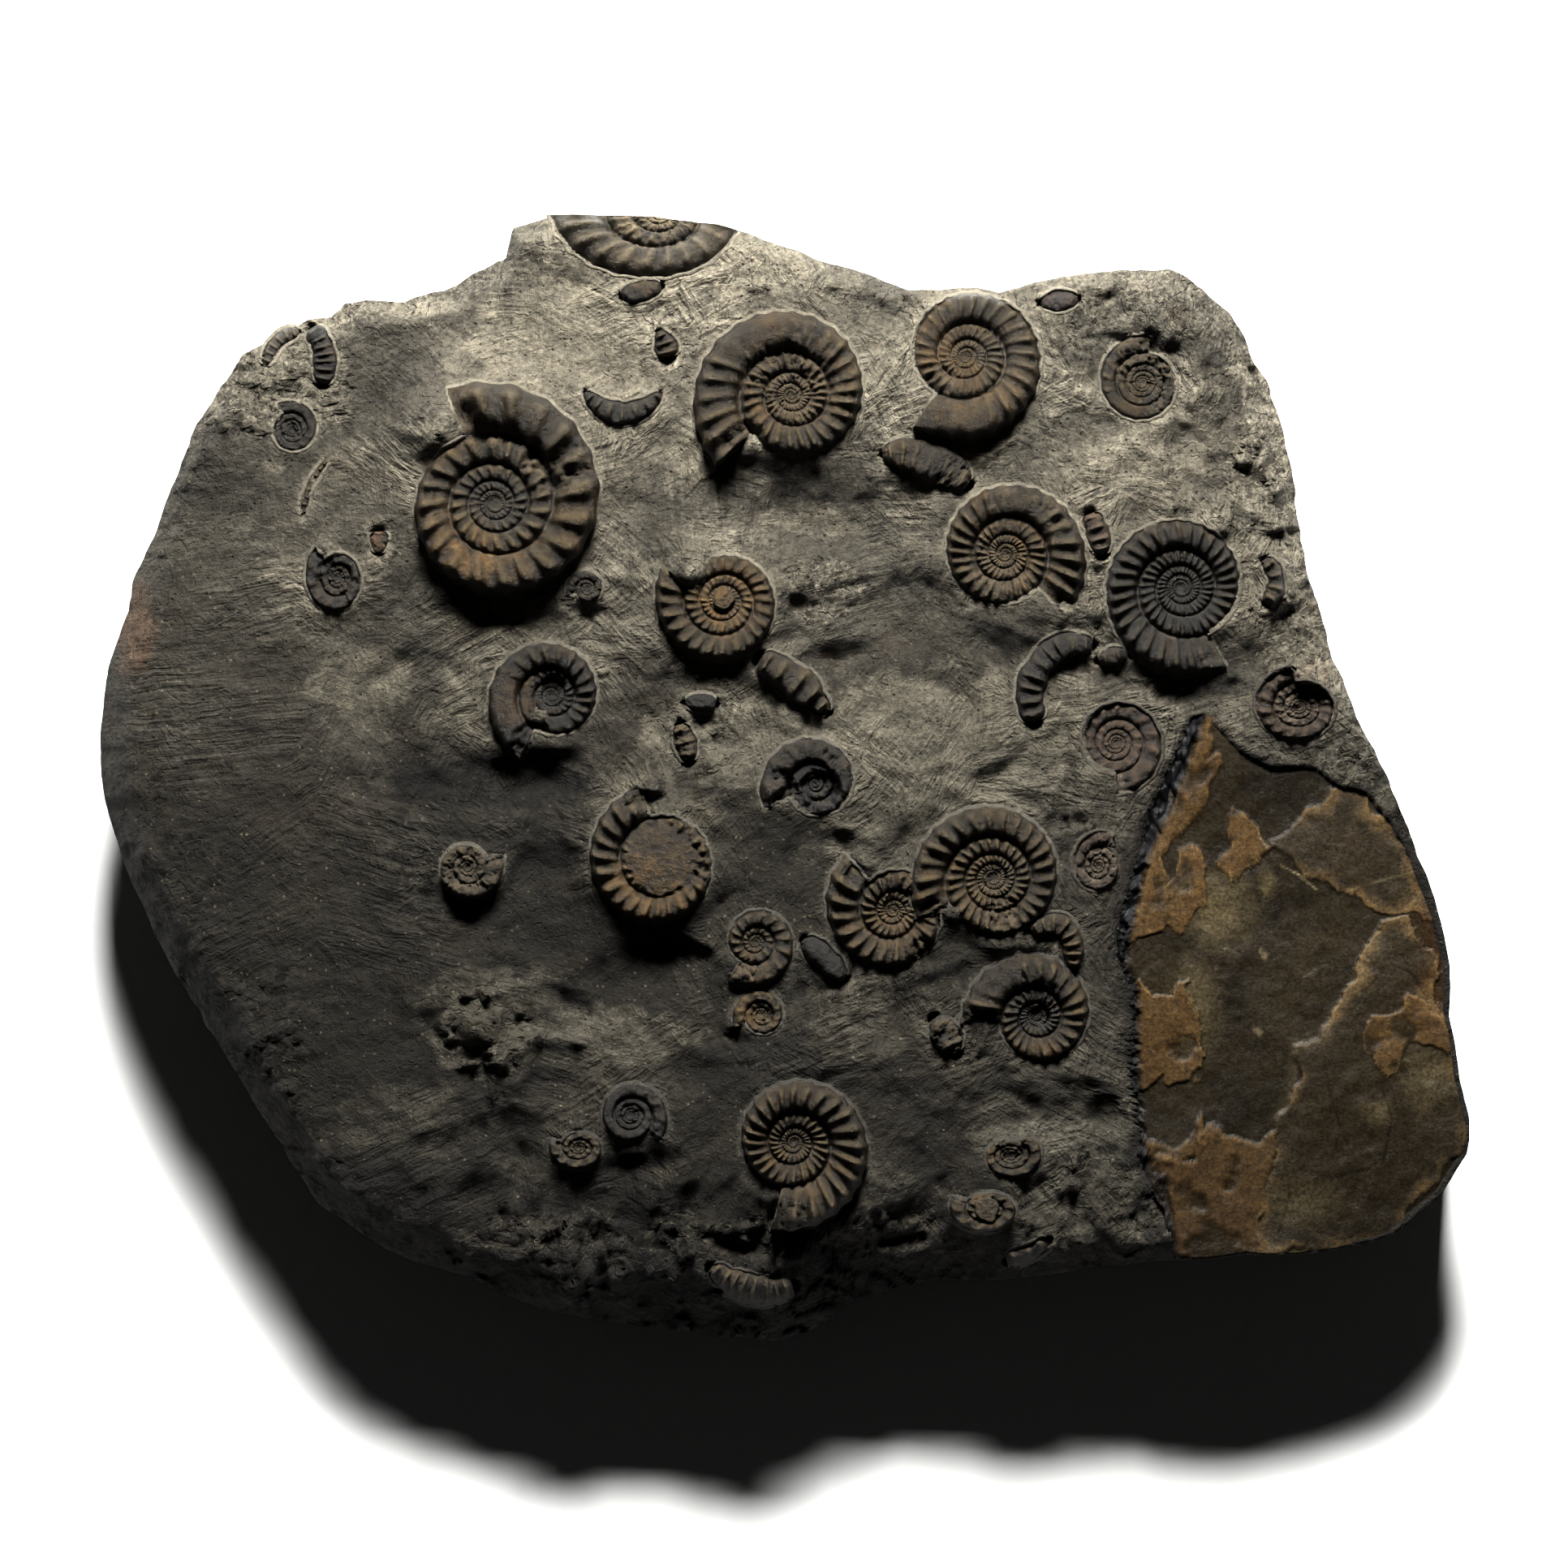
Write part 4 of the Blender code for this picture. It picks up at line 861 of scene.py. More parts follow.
def close_below(faces, ring, lines, total):
    """Adds walls from a border ring down through lines of as many points, and a floor in the last."""
    before = ring
    for line in lines:
        now = np.arange(total, total + len(line))
        faces += list(zip(before, now, np.roll(now, -1), np.roll(before, -1)))
        before, total = now, total + len(line)
    faces.append(list(before))


share, angle = bent_grid(TOP_GRID)
reach = np.interp(angle, edge_angles, edge_reaches, period=360)
x = share * reach * np.cos(np.radians(angle))
y = share * reach * np.sin(np.radians(angle))
nicks = margin(x, y)[3] * (0.5 + 0.5 * weathered(x, y, 6, 31)) * 1.3
x, y = (value * (1 - share**6 * nicks / reach) for value in (x, y))
x = np.clip(x, cad_box[0].x / MM + 0.05, cad_box[1].x / MM - 0.05)
y = np.clip(y, cad_box[0].y / MM + 0.05, FAR_LIMIT)
height, rough, clear = rock_top(x, y)
# Rock left over a shell: column, row, half width, half height, rise in millimetres
COVERS = (
    (846, 690, 30, 30, 3.6), (800, 966, 20, 13, 3.6), (662, 880, 15, 12, 1.2), (925, 556, 12, 12, 1.0),
    (1310, 752, 12, 10, 1.2), (1176, 1124, 16, 10, 1.6), (940, 1198, 18, 12, 1.6),
    (1212, 1262, 14, 10, 0.8), (716, 1380, 14, 9, 1.0),
)
cover, ragged, chipped = np.zeros(x.shape), 0.2 * weathered(x, y, 4, 35), 0.7 * chips(x, y, 2.6, 37)
for *patch, rise in COVERS:
    share_here = np.exp(-np.maximum(from_patch(x, y, *patch) + ragged, 0) ** 4)
    cover = np.maximum(cover, share_here)
    height += share_here * (rise + chipped)
rough = np.maximum(rough, 0.7 * cover)
# Under a shell the top drops away, so that the shell's own mesh shows
height -= 0.1 * np.exp(-((clear / 0.9) ** 2))
height -= 9.0 * ease((-clear - 0.2) / 1.8) * (1 - ease((cover - 0.1) / 0.3))

# Spots on the rock: column, row, half width, half height, and share of pale powder, which on slopes
# that face the lamp is partly painted light, of brown, or of painted shade, laid where shells and
# slopes that face away from the lamp shade the stone
POWDER_AND_PAINTED_LIGHT_SPOTS = (
    (361, 721, 14, 9, 1.0), (338, 576, 14, 9, 1.0), (1593, 681, 7, 5, 1.5), (1466, 450, 14, 9, 1.0),
    (520, 380, 60, 14, 0.8), (560, 870, 22, 50, 0.7), (924, 1143, 26, 14, 1.0), (695, 1605, 12, 6, 1.2),
    (1003, 560, 60, 60, 0.5), (1290, 860, 30, 50, 0.9), (1340, 880, 30, 60, 0.9),
    (1350, 960, 40, 40, 0.8), (1160, 985, 60, 60, 0.6), (870, 850, 50, 60, 0.7), (1060, 760, 60, 30, 0.5),
    (1480, 560, 60, 40, 0.6), (1170, 1250, 50, 50, 0.6), (1130, 920, 250, 56, 0.9),
    (700, 1200, 60, 30, 0.4), (600, 1270, 40, 40, 0.6), (860, 920, 60, 40, 0.8),
    (730, 1290, 130, 34, 0.8), (450, 890, 60, 40, 0.6), (1150, 1040, 130, 24, 0.6),
    (1480, 630, 70, 40, 0.6), (420, 1010, 60, 30, 0.3), (950, 1200, 40, 20, 0.6),
    (1600, 700, 16, 60, 0.6), (650, 1440, 60, 20, 0.6), (1350, 1520, 60, 20, 0.6),
    (1260, 1340, 60, 50, 0.5), (1380, 1290, 20, 120, 0.5), (700, 420, 130, 80, 0.9),
    (1400, 570, 100, 40, 0.9), (1530, 918, 30, 10, 1.2), (1600, 934, 40, 9, 1.2),
    (1664, 955, 26, 14, 1.2), (1705, 985, 16, 20, 1.0), (1100, 920, 270, 90, 1.2),
    (1100, 1040, 120, 36, 1.0), (750, 1275, 120, 36, 1.1), (440, 840, 70, 50, 1.0),
    (640, 795, 50, 26, 0.9), (1550, 880, 70, 30, 1.2), (600, 1275, 60, 60, 1.3), (1000, 640, 80, 24, 0.8),
    (1350, 1010, 60, 30, 1.0), (900, 330, 160, 40, 1.0), (540, 560, 30, 40, 0.8), (860, 560, 40, 60, 0.8),
    (1300, 1380, 110, 130, 1.0), (1200, 970, 110, 50, 1.4), (900, 900, 110, 50, 1.3),
    (600, 1230, 110, 40, 0.9), (500, 1380, 90, 60, 0.7), (1060, 1250, 60, 60, 0.8),
    (1440, 900, 60, 30, 1.2), (1060, 1460, 60, 30, 0.8),
)
BROWN_SPOTS = (
    (165, 774, 25, 60, 1.1), (1619, 747, 5, 5, 1.0), (1016, 806, 5, 5, 1.2), (1492, 890, 9, 10, 1.0),
    (1615, 830, 24, 18, 0.7), (1450, 390, 18, 12, 0.7), (905, 1540, 22, 8, 0.7), (1042, 983, 4, 4, 1.0),
)
PAINTED_SHADE_SPOTS = (
    (620, 965, 120, 34, 1.0), (600, 1040, 110, 50, 0.7), (430, 1480, 140, 56, 0.7),
    (250, 1300, 60, 90, 0.4), (400, 460, 120, 90, 0.4), (645, 1000, 70, 60, 0.6),
    (760, 1140, 130, 40, 0.4), (950, 1318, 90, 40, 0.6), (1260, 1320, 60, 40, 0.4),
    (1050, 560, 40, 40, 0.4), (750, 1490, 90, 60, 0.5), (800, 1590, 400, 56, 1.0),
    (1150, 1570, 150, 30, 0.6), (960, 600, 110, 34, 0.5), (290, 580, 100, 60, 0.5),
    (345, 480, 60, 40, 0.5), (1150, 720, 60, 30, 0.5), (750, 1440, 60, 26, 0.7),
    (1420, 410, 130, 55, 0.6), (560, 1110, 80, 20, 0.6), (510, 730, 80, 30, 0.5),
    (1390, 420, 60, 16, 0.9),
)
outside = np.maximum(clear, 0)
marks = {
    "rough": rough, "brown": 0 * x, "dark": 0 * x, "near": np.exp(-((outside / 11) ** 2)),
    "powder": 0.55 * np.exp(-((outside / 3.2) ** 1.5)) + 0.45 * np.exp(-((outside / 1.1) ** 2)),
}
ragged = 1.3 - 0.25 * weathered(x, y, 4, 33)
for key, table in (("powder", POWDER_AND_PAINTED_LIGHT_SPOTS), ("brown", BROWN_SPOTS), ("dark", PAINTED_SHADE_SPOTS)):
    for *patch, strength in table:
        spot = strength * ease((ragged - from_patch(x, y, *patch)) / 0.6)
        marks[key] = np.maximum(marks[key], spot)

# Sides of broken rock, leaning in towards the foot, and the back
faces, ring = grid_faces(TOP_GRID)
top = np.column_stack([x.ravel(), y.ravel(), height.ravel()])
rim_x, rim_y, rim_z = top[ring].T
reach = np.hypot(rim_x, rim_y)
round_rim = np.radians(bearing(rim_x, rim_y)) * 120  # millimetres round the rim
lines = []
for level in np.linspace(0, 1, SIDE_ROWS + 1)[1:]:
    lean = 3.0 * min(level / WAIST, 1.0) ** 0.5 + 2.0 * max(0.0, level - WAIST) / WAIST
    down = rim_z * (1 - level)
    pits = 1.4 * chips(round_rim, down, 9, 61) + 0.7 * chips(round_rim, down, 4, 67)
    pits += 0.4 * weathered(round_rim, down, 3, 71)
    inward = lean * min(1.0, 3 * level) + pits * math.sin(math.pi * min(1.0, level + 0.12))
    inward = np.clip(inward, 0.1, 8) / reach
    lines.append(np.column_stack([rim_x * (1 - inward), rim_y * (1 - inward), down]))
foot = lines[-1] * (1, 1, 0)
for share_here, rise in BACK:
    line = foot * share_here
    line[:, 2] = rise * (1 + lumps(line[:, 0], line[:, 1], 14, 73))
    lines.append(line)
close_below(faces, ring, lines, len(top))
points = np.vstack([top, *lines])
hidden = len(points) - len(top)
for key, values in marks.items():
    marks[key] = np.append(values.ravel(), np.full(hidden, 1.0 if key == "rough" else 0.0))

# Dark limestone worked with an air scribe: matt, with dust in the strokes. Its colour drifts from
# dusty grey at the far side to dark grey at the near side, partly far-side dust and partly painted
# falloff of the lamp's light, and it carries painted shade in spots. The strokes are about 1.5 mm
# apart, as the tool leaves them; the pits and bright points are drawn at 1 mm, coarser than they are.
STROKE_PITCH = 1.5  # millimetres
STROKE_PATCHES = ((34, 15.0, 0), (8, 7.0, 37))  # size, length of a stroke, shift: open rock, near shells
limestone, shader = new_material("dark_limestone_air_scribed")
place = node(limestone, "TexCoord")["Object"]
mm = node(limestone, "VectorMath", {0: place, 3: 1000.0}, operation="SCALE")[0]
rough_mark = node(limestone, "Attribute", attribute_name="rough")["Fac"]
powder_and_painted_light_mark = node(limestone, "Attribute", attribute_name="powder")["Fac"]
brown_mark = node(limestone, "Attribute", attribute_name="brown")["Fac"]
drift = node(limestone, "TexNoise", {"Vector": mm, "Scale": 0.12, "Detail": 2})["Color"]
bent = node(limestone, "VectorMath", {0: drift, 1: (2, 2, 2), 2: mm}, operation="MULTIPLY_ADD")[0]
strokes = []
for size, length, offset in STROKE_PATCHES:
    moved_mm = node(limestone, "VectorMath", {0: bent, 1: (offset, offset, 0)})[0]
    patch = node(limestone, "TexVoronoi", {"Vector": moved_mm, "Scale": 1 / size, "Randomness": 1.0})
    local = node(limestone, "VectorMath", {0: moved_mm, 1: patch["Position"]}, operation="SUBTRACT")[0]
    sweep = node(limestone, "TexNoise", {"Vector": patch["Position"], "Scale": 0.035, "Detail": 1})["Fac"]
    turn = node(limestone, "Math", {0: sweep, 1: 14.0}, operation="MULTIPLY")[0]
    turned = node(limestone, "VectorRotate", {"Vector": local, "Angle": turn}, rotation_type="Z_AXIS")[0]
    shrink = (1 / length, 1 / STROKE_PITCH, 1 / length)
    shrunk = node(limestone, "VectorMath", {0: turned, 1: shrink}, operation="MULTIPLY")[0]
    spread = {0: patch["Color"], 1: (9, 9, 9), 2: shrunk}
    shifted = node(limestone, "VectorMath", spread, operation="MULTIPLY_ADD")[0]
    furrows = {"Vector": shifted, "Scale": 1.0, "Detail": 2.0, "Roughness": 0.6}
    strokes.append(node(limestone, "TexNoise", furrows)["Fac"])
where = node(limestone, "TexNoise", {"Vector": mm, "Scale": 0.055, "Detail": 3})["Fac"]
where = node(limestone, "MapRange", {0: where, 1: 0.42, 2: 0.6, 3: 0.25})[0]
near_mark = node(limestone, "Attribute", attribute_name="near")["Fac"]
near_stroke = node(limestone, "MapRange", {0: near_mark, 3: 0.2})[0]
near_stroke = node(limestone, "Math", {0: strokes[1], 1: near_stroke}, operation="MULTIPLY")[0]
stroke = node(limestone, "Math", {0: strokes[0], 1: 0.6, 2: near_stroke}, operation="MULTIPLY_ADD")[0]
grain = node(limestone, "TexNoise", {"Vector": mm, "Scale": 0.9, "Detail": 5, "Roughness": 0.9})["Fac"]
cloud = node(limestone, "TexNoise", {"Vector": mm, "Scale": 0.03, "Detail": 4, "Roughness": 0.62})["Fac"]
mottle = node(limestone, "TexNoise", {"Vector": mm, "Scale": 0.22, "Detail": 5, "Roughness": 0.65})["Fac"]
# Share that grows towards the far side, with clouds in it: partly far-side dust, partly painted falloff of
# the lamp's light; the colours below follow it
depth = node(limestone, "SeparateXYZ", {0: mm})["Y"]
depth = node(limestone, "Math", {0: cloud, 1: 150.0, 2: depth}, operation="MULTIPLY_ADD")[0]
depth = node(limestone, "MapRange", {0: depth, 1: 35.0, 2: 185.0}, interpolation_type="SMOOTHSTEP")[0]

# Colours, laid over one another in the order of the loop below
dust = node(limestone, "MapRange", {0: stroke, 1: 0.5, 2: 0.8, 4: 0.8})[0]
dust = node(limestone, "Math", {0: dust, 1: where}, operation="MULTIPLY")[0]
dusty = node(limestone, "Mix", {0: depth, 6: linear("#3d3930"), 7: linear("#7f796b")}, **MIX)[2]
blotch = node(limestone, "TexNoise", {"Vector": bent, "Scale": 0.085, "Detail": 5, "Roughness": 0.6})["Fac"]
blotch = node(limestone, "MapRange", {0: blotch, 1: 0.55, 2: 0.7, 4: 0.22})[0]
stain_and_painted_shade = node(limestone, "MapRange", {0: mottle, 1: 0.54, 2: 0.72, 4: 0.55})[0]
# Painted shade: the dark spots add to the random stain, and further on they darken the whole colour
painted_shade_mark = node(limestone, "Attribute", attribute_name="dark")["Fac"]
stain_and_painted_shade = node(limestone, "Math", {0: painted_shade_mark, 1: 0.5, 2: stain_and_painted_shade}, operation="MULTIPLY_ADD")[0]
# Pale powder round the shells and in the pale spots, which on slopes facing the lamp is partly painted light
powder = node(limestone, "Math", {0: powder_and_painted_light_mark, 1: mottle}, operation="MULTIPLY")[0]
powder = node(limestone, "MapRange", {0: powder, 1: 0.22, 2: 0.6, 4: 0.82})[0]
paler = node(limestone, "Mix", {0: depth, 6: linear("#524e44"), 7: linear("#7d7769")}, **MIX)[2]
brown = node(limestone, "Math", {0: brown_mark, 1: 0.8}, operation="MULTIPLY")[0]
fresh = node(limestone, "Math", {0: rough_mark, 1: grain}, operation="MULTIPLY")[0]
fresh = node(limestone, "MapRange", {0: fresh, 1: 0.36, 2: 0.58, 4: 0.85})[0]
points_of = node(limestone, "TexVoronoi", {"Vector": mm, "Scale": 0.9, "Randomness": 1.0})
tone = node(limestone, "SeparateColor", {0: points_of["Color"]})
near = node(limestone, "MapRange", {0: points_of["Distance"], 1: 0.32, 2: 0.16})[0]
chosen = node(limestone, "MapRange", {0: tone[0], 1: 0.86, 2: 0.9, 4: 0.6})[0]
fleck = node(limestone, "Math", {0: chosen, 1: near}, operation="MULTIPLY")[0]
pitted = node(limestone, "MapRange", {0: tone[1], 1: 0.8, 2: 0.86, 4: 0.7})[0]
pit = node(limestone, "Math", {0: pitted, 1: near}, operation="MULTIPLY")[0]
colour = linear("#24211b")
for share_here, over in (
    (depth, linear("#534f46")), (dust, dusty), (blotch, linear("#3a3022")), (stain_and_painted_shade, linear("#1d1a16")),
    (powder, paler), (brown, linear("#4e4033")), (fresh, dusty), (fleck, linear("#6b6454")),
    (pit, linear("#12110f")),
):
    colour = node(limestone, "Mix", {0: share_here, 6: colour, 7: over}, **MIX)[2]
speckle = node(limestone, "MapRange", {0: grain, 1: 0.3, 2: 0.7, 3: 0.35, 4: 1.75})[0]
# Painted shade: the colour is darkened in the dark spots, then speckled
shade = node(limestone, "Math", {0: painted_shade_mark, 1: -0.55, 2: 1.0}, operation="MULTIPLY_ADD")[0]
shade = node(limestone, "Math", {0: shade, 1: speckle}, operation="MULTIPLY")[0]
colour = node(limestone, "VectorMath", {0: colour, 3: shade}, operation="SCALE")[0]

# Relief too fine for the mesh: tilted facets where the stone is broken, strokes, grain, pits, and the
# steps of its layers
facets = node(limestone, "TexVoronoi", {"Vector": bent, "Scale": 0.5, "Randomness": 1.0})
local = node(limestone, "VectorMath", {0: bent, 1: facets["Position"]}, operation="SUBTRACT")[0]
tilt = node(limestone, "VectorMath", {0: facets["Color"], 1: (0.5, 0.5, 0.5)}, operation="SUBTRACT")[0]
facet = node(limestone, "VectorMath", {0: local, 1: tilt}, operation="DOT_PRODUCT")[1]
broken_mark = node(limestone, "MapRange", {0: rough_mark, 3: 0.1, 4: 1.7})[0]
slant = node(limestone, "Math", {0: facet, 1: broken_mark}, operation="MULTIPLY")[0]
stroke = node(limestone, "Math", {0: stroke, 1: where}, operation="MULTIPLY")[0]
layer = node(limestone, "TexNoise", {"Vector": bent, "Scale": 0.06, "Detail": 4, "Roughness": 0.55})["Fac"]
layer = node(limestone, "Math", {0: layer, 1: 13.0}, operation="MULTIPLY")[0]
part = node(limestone, "Math", {0: layer}, operation="FRACT")[0]
riser = node(limestone, "MapRange", {0: part, 1: 0.88, 2: 1.0}, interpolation_type="SMOOTHSTEP")[0]
riser = node(limestone, "Math", {0: riser, 1: part}, operation="SUBTRACT")[0]
ledge_share = node(limestone, "MapRange", {0: rough_mark, 3: 0.25, 4: 0.9})[0]
relief = grain
for form, rise in ((stroke, 3.4), (mottle, 1.6), (slant, 0.9), (pit, -0.5), (riser, ledge_share)):
    relief = node(limestone, "Math", {0: form, 1: rise, 2: relief}, operation="MULTIPLY_ADD")[0]
feed(shader, {
    "Base Color": colour,
    "Roughness": node(limestone, "MapRange", {0: grain, 1: 0.3, 2: 0.7, 3: 0.66, 4: 0.9})[0],
    "Normal": node(limestone, "Bump", {"Height": relief, "Distance": 0.0012, "Strength": 1.0})[0],
    "IOR": 1.5,
    "Specular IOR Level": 0.3,  # powder on the stone leaves little shine
})
add_piece("limestone_slab", points, faces, "matrix_slab", "limestone", limestone, **marks)

# Brown calcite sheet. A vein of crystals that filled a joint in the rock, split so that its layers
# show: a smooth dark layer, and scraps of the tan and grey layers over it. It grew fast to the rock.
SHEET_GRID = 240  # quads along each side of the grid that is bent over its face
SHEET_EDGE = 3.0  # millimetres that its edge goes down
middle_x, middle_y = plan(1580, 1220)
sheet_angles, sheet_reaches = round_border([(x0 - middle_x, y0 - middle_y) for x0, y0 in vein_line])
# Upper layers: thickness in millimetres, tone from 0, dark, through 1, tan, to 2, grey, and border
LAYERS = (
    (0.8, 1, (
        (1482, 872), (1492, 890), (1480, 940), (1500, 925), (1496, 960), (1478, 990), (1462, 1025),
        (1445, 1030), (1425, 1062), (1440, 1100), (1432, 1150), (1400, 1160), (1378, 1180),
        (1372, 1160), (1386, 1120), (1405, 1060), (1415, 1020), (1440, 1005), (1450, 960), (1452, 920),
        (1466, 885),
    )),
    (0.8, 1, (
        (1512, 1000), (1522, 992), (1535, 996), (1541, 1030), (1558, 1047), (1570, 1044), (1550, 1062),
        (1520, 1090), (1500, 1060), (1515, 1040),
    )),
    (0.7, 1, (
        (1455, 1048), (1475, 1045), (1488, 1070), (1480, 1110), (1455, 1150), (1434, 1140),
        (1440, 1095),
    )),
    (0.9, 1, (
        (1386, 1222), (1405, 1206), (1428, 1220), (1446, 1232), (1460, 1200), (1470, 1240),
        (1480, 1262), (1474, 1330), (1442, 1335), (1430, 1318), (1405, 1345), (1402, 1400),
        (1440, 1410), (1470, 1395), (1474, 1372), (1490, 1410), (1395, 1440), (1390, 1340),
    )),
    (1.1, 1, (
        (1394, 1404), (1420, 1420), (1468, 1428), (1490, 1392), (1515, 1402), (1548, 1412),
        (1560, 1398), (1574, 1390), (1572, 1430), (1550, 1480), (1545, 1520), (1560, 1545),
        (1450, 1552), (1430, 1500), (1400, 1430),
    )),
    (0.9, 2, (
        (1573, 1380), (1596, 1345), (1592, 1290), (1625, 1280), (1650, 1230), (1680, 1180),
        (1692, 1160), (1706, 1135), (1740, 1132), (1768, 1172), (1772, 1230), (1792, 1260),
        (1812, 1390), (1760, 1480), (1700, 1530), (1545, 1550), (1545, 1490), (1575, 1430),
    )),
    (0.7, 1, (
        (1692, 1300), (1680, 1290), (1690, 1258), (1720, 1250), (1740, 1226), (1780, 1250),
        (1790, 1300), (1768, 1290), (1735, 1275), (1712, 1330),
    )),
    (0.5, 2, (
        (1560, 1040), (1615, 1000), (1660, 958), (1690, 990), (1740, 1050), (1765, 1120), (1770, 1130),
        (1690, 1125), (1640, 1090), (1600, 1070),
    )),
)
# Scratches and crystal seams, pale, and cracks, dark: half width in steps, paleness, line
LINES = (
    (1.1, 0.7, ((1578, 1066), (1600, 1078), (1622, 1096))),
    (1.0, 0.4, ((1655, 1100), (1698, 1086), (1742, 1074))),
    (1.1, 0.6, ((1549, 1020), (1553, 1034), (1562, 1046))), (3.2, 0.8, ((1554, 1172), (1558, 1178))),
    (3.0, 0.8, ((1547, 1268), (1552, 1272))), (7.0, 0.14, ((1573, 1380), (1590, 1345), (1596, 1290))),
    (9.0, 0.14, ((1598, 1290), (1628, 1284), (1656, 1234), (1686, 1184), (1698, 1164))),
    (1.6, -1.0, ((1640, 1522), (1656, 1528), (1672, 1522))),
    (1.4, -1.0, ((1600, 1440), (1640, 1452), (1690, 1440))),
    (1.4, -0.8, ((1700, 1330), (1716, 1380), (1706, 1430))),
    (1.2, -0.4, ((1520, 1130), (1532, 1210), (1524, 1290))),
    (1.2, -0.9, ((1632, 1310), (1640, 1350), (1652, 1390), (1640, 1430))),
    (1.0, -0.8, ((1600, 1330), (1612, 1352))), (1.2, -0.8, ((1716, 1190), (1740, 1200), (1756, 1226))),
    (1.0, -0.7, ((1700, 1360), (1676, 1384), (1690, 1400))),
    (1.6, -1.0, ((1770, 1150), (1784, 1190), (1790, 1250))),
    (1.2, -0.7, ((1580, 1420), (1590, 1470), (1576, 1520))),
)
# Bands of coarse black crystal down the left side: share, reach over the border and blur in
# millimetres, border
BLACK_BANDS = (
    (1.0, 0.4, 2.0, ((1455, 868), (1486, 876), (1462, 940), (1438, 1000), (1412, 1060), (1398, 1120),
                     (1384, 1190), (1400, 1215), (1402, 1330), (1408, 1400), (1415, 1440), (1440, 1545),
                     (1420, 1560), (1395, 1440), (1385, 1320), (1380, 1220), (1360, 1180), (1368, 1120),
                     (1405, 1000), (1436, 925))),
    (0.8, 0.0, 1.5, ((1413, 1440), (1436, 1446), (1444, 1490), (1452, 1548), (1436, 1550), (1426, 1500))),
)
# Pale haze in the crystal: column, row, half width, half height
HAZE = (
    (1500, 1120, 60, 60), (1470, 1240, 40, 70), (1560, 1090, 16, 22), (1700, 1370, 26, 20),
    (1600, 1480, 60, 40), (1760, 1330, 40, 50), (1590, 1540, 60, 12),
)
RUST_PLACE = (1772, 1290)  # rusty strip at the right border: its middle column, and its lowest row
SHADE_PLACE = (1572, 965)  # the darkest part, by the far border
share, angle = bent_grid(SHEET_GRID)
reach = np.interp(angle, sheet_angles, sheet_reaches, period=360)
x = middle_x + share * reach * np.cos(np.radians(angle))
y = middle_y + share * reach * np.sin(np.radians(angle))
# Its face, with what is left of each upper layer as a step with a ragged, paler edge
height = vein_face(x, y) + 0.35 * weathered(x, y, 20, 81, 3) + 0.07 * weathered(x, y, 2.5, 87, 2)
height += 0.05 * chips(x, y, 6.0, 89)
tan, grey, edge, pale = (np.zeros(x.shape) for _ in range(4))
ragged_x = x + 1.3 * weathered(x, y, 5.0, 91, 5)
ragged_y = y + 1.3 * weathered(x, y, 5.0, 95, 5)
for thickness, tone, border in LAYERS:
    apart = border_distance(ragged_x, ragged_y, [plan(*place) for place in border])
    kept = ease(0.5 - apart / 0.6)
    worn_off = ease(1.6 * weathered(x, y, 7, 96 + tone) - 0.35) * (1 if tone == 1 else 0.4)
    height += 0.55 * kept * thickness * (1 + 0.15 * lumps(x, y, 4, 99)) * (1 - 0.7 * worn_off)
    if tone == 1:
        tan, grey = np.maximum(tan, kept * (1 - 0.85 * worn_off)), grey * (1 - kept)
    else:
        grey = np.maximum(grey, kept)
    inner = np.where(apart < 0, np.exp(apart / (3.6 if tone == 2 else 0.7)), 0)
    edge = np.maximum(edge, inner * (0.75 + 0.5 * lumps(x, y, 5, 98)))
for half, strength, line in LINES:
    line = [plan(*place) for place in line]
    for start, end in zip(line, line[1:]):
        apart, _ = from_line(x, y, start, end)
        mark = np.exp(-((apart / (half * STEP)) ** 2)) * (0.6 + 0.4 * lumps(x, y, 1.5, 97))
        pale = np.where(np.abs(strength * mark) > np.abs(pale), strength * mark, pale)
height += 0.15 * np.minimum(pale, 0)
sparry = np.zeros(x.shape)
for strength, reach, blur, border in BLACK_BANDS:
    apart = border_distance(x, y, [plan(*place) for place in border])
    sparry = np.maximum(sparry, strength * ease(0.5 + (reach - apart) / blur))
height += sparry * (0.9 * chips(x, y, 2.6, 101) + 0.5 * chips(x, y, 1.3, 103) - 0.6)
rust_x, rust_y = plan(*RUST_PLACE)
rust = ease(1 - np.abs(x - rust_x) / 7.0) * ease((y - rust_y) / 10) * (0.6 + 0.5 * lumps(x, y, 4, 105))
haze = np.zeros(x.shape)
for patch in HAZE:
    haze = np.maximum(haze, np.exp(-(from_patch(x, y, *patch) ** 2)))
shade_x, shade_y = plan(*SHADE_PLACE)
shade = np.exp(-(((x - shade_x) / 11) ** 2) - ((y - shade_y) / 6.5) ** 2)
marks = {
    "tan": tan, "grey": grey, "sparry": sparry, "edge": edge, "pale": pale, "rust": rust, "cloud": haze,
    "shade": shade,
}

# Its edge goes down into the rock
faces, ring = grid_faces(SHEET_GRID)
top = np.column_stack([x.ravel(), y.ravel(), height.ravel()])
rim = top[ring]
lines = []
away = np.column_stack([rim[:, 0] - middle_x, rim[:, 1] - middle_y])
away /= np.hypot(*away.T)[:, None]
for level in (0.35, 0.7, 1.0):
    line = rim.copy()
    line[:, :2] -= away * (0.25 + 0.2 * lumps(rim[:, 0] * 2, rim[:, 1] * 2 + level * 9, 2.0, 107))[:, None]
    line[:, 2] -= SHEET_EDGE * level
    lines.append(line)
close_below(faces, ring, lines, len(top))
for key, values in marks.items():
    marks[key] = np.append(values.ravel(), np.tile(values.ravel()[ring], len(lines)))

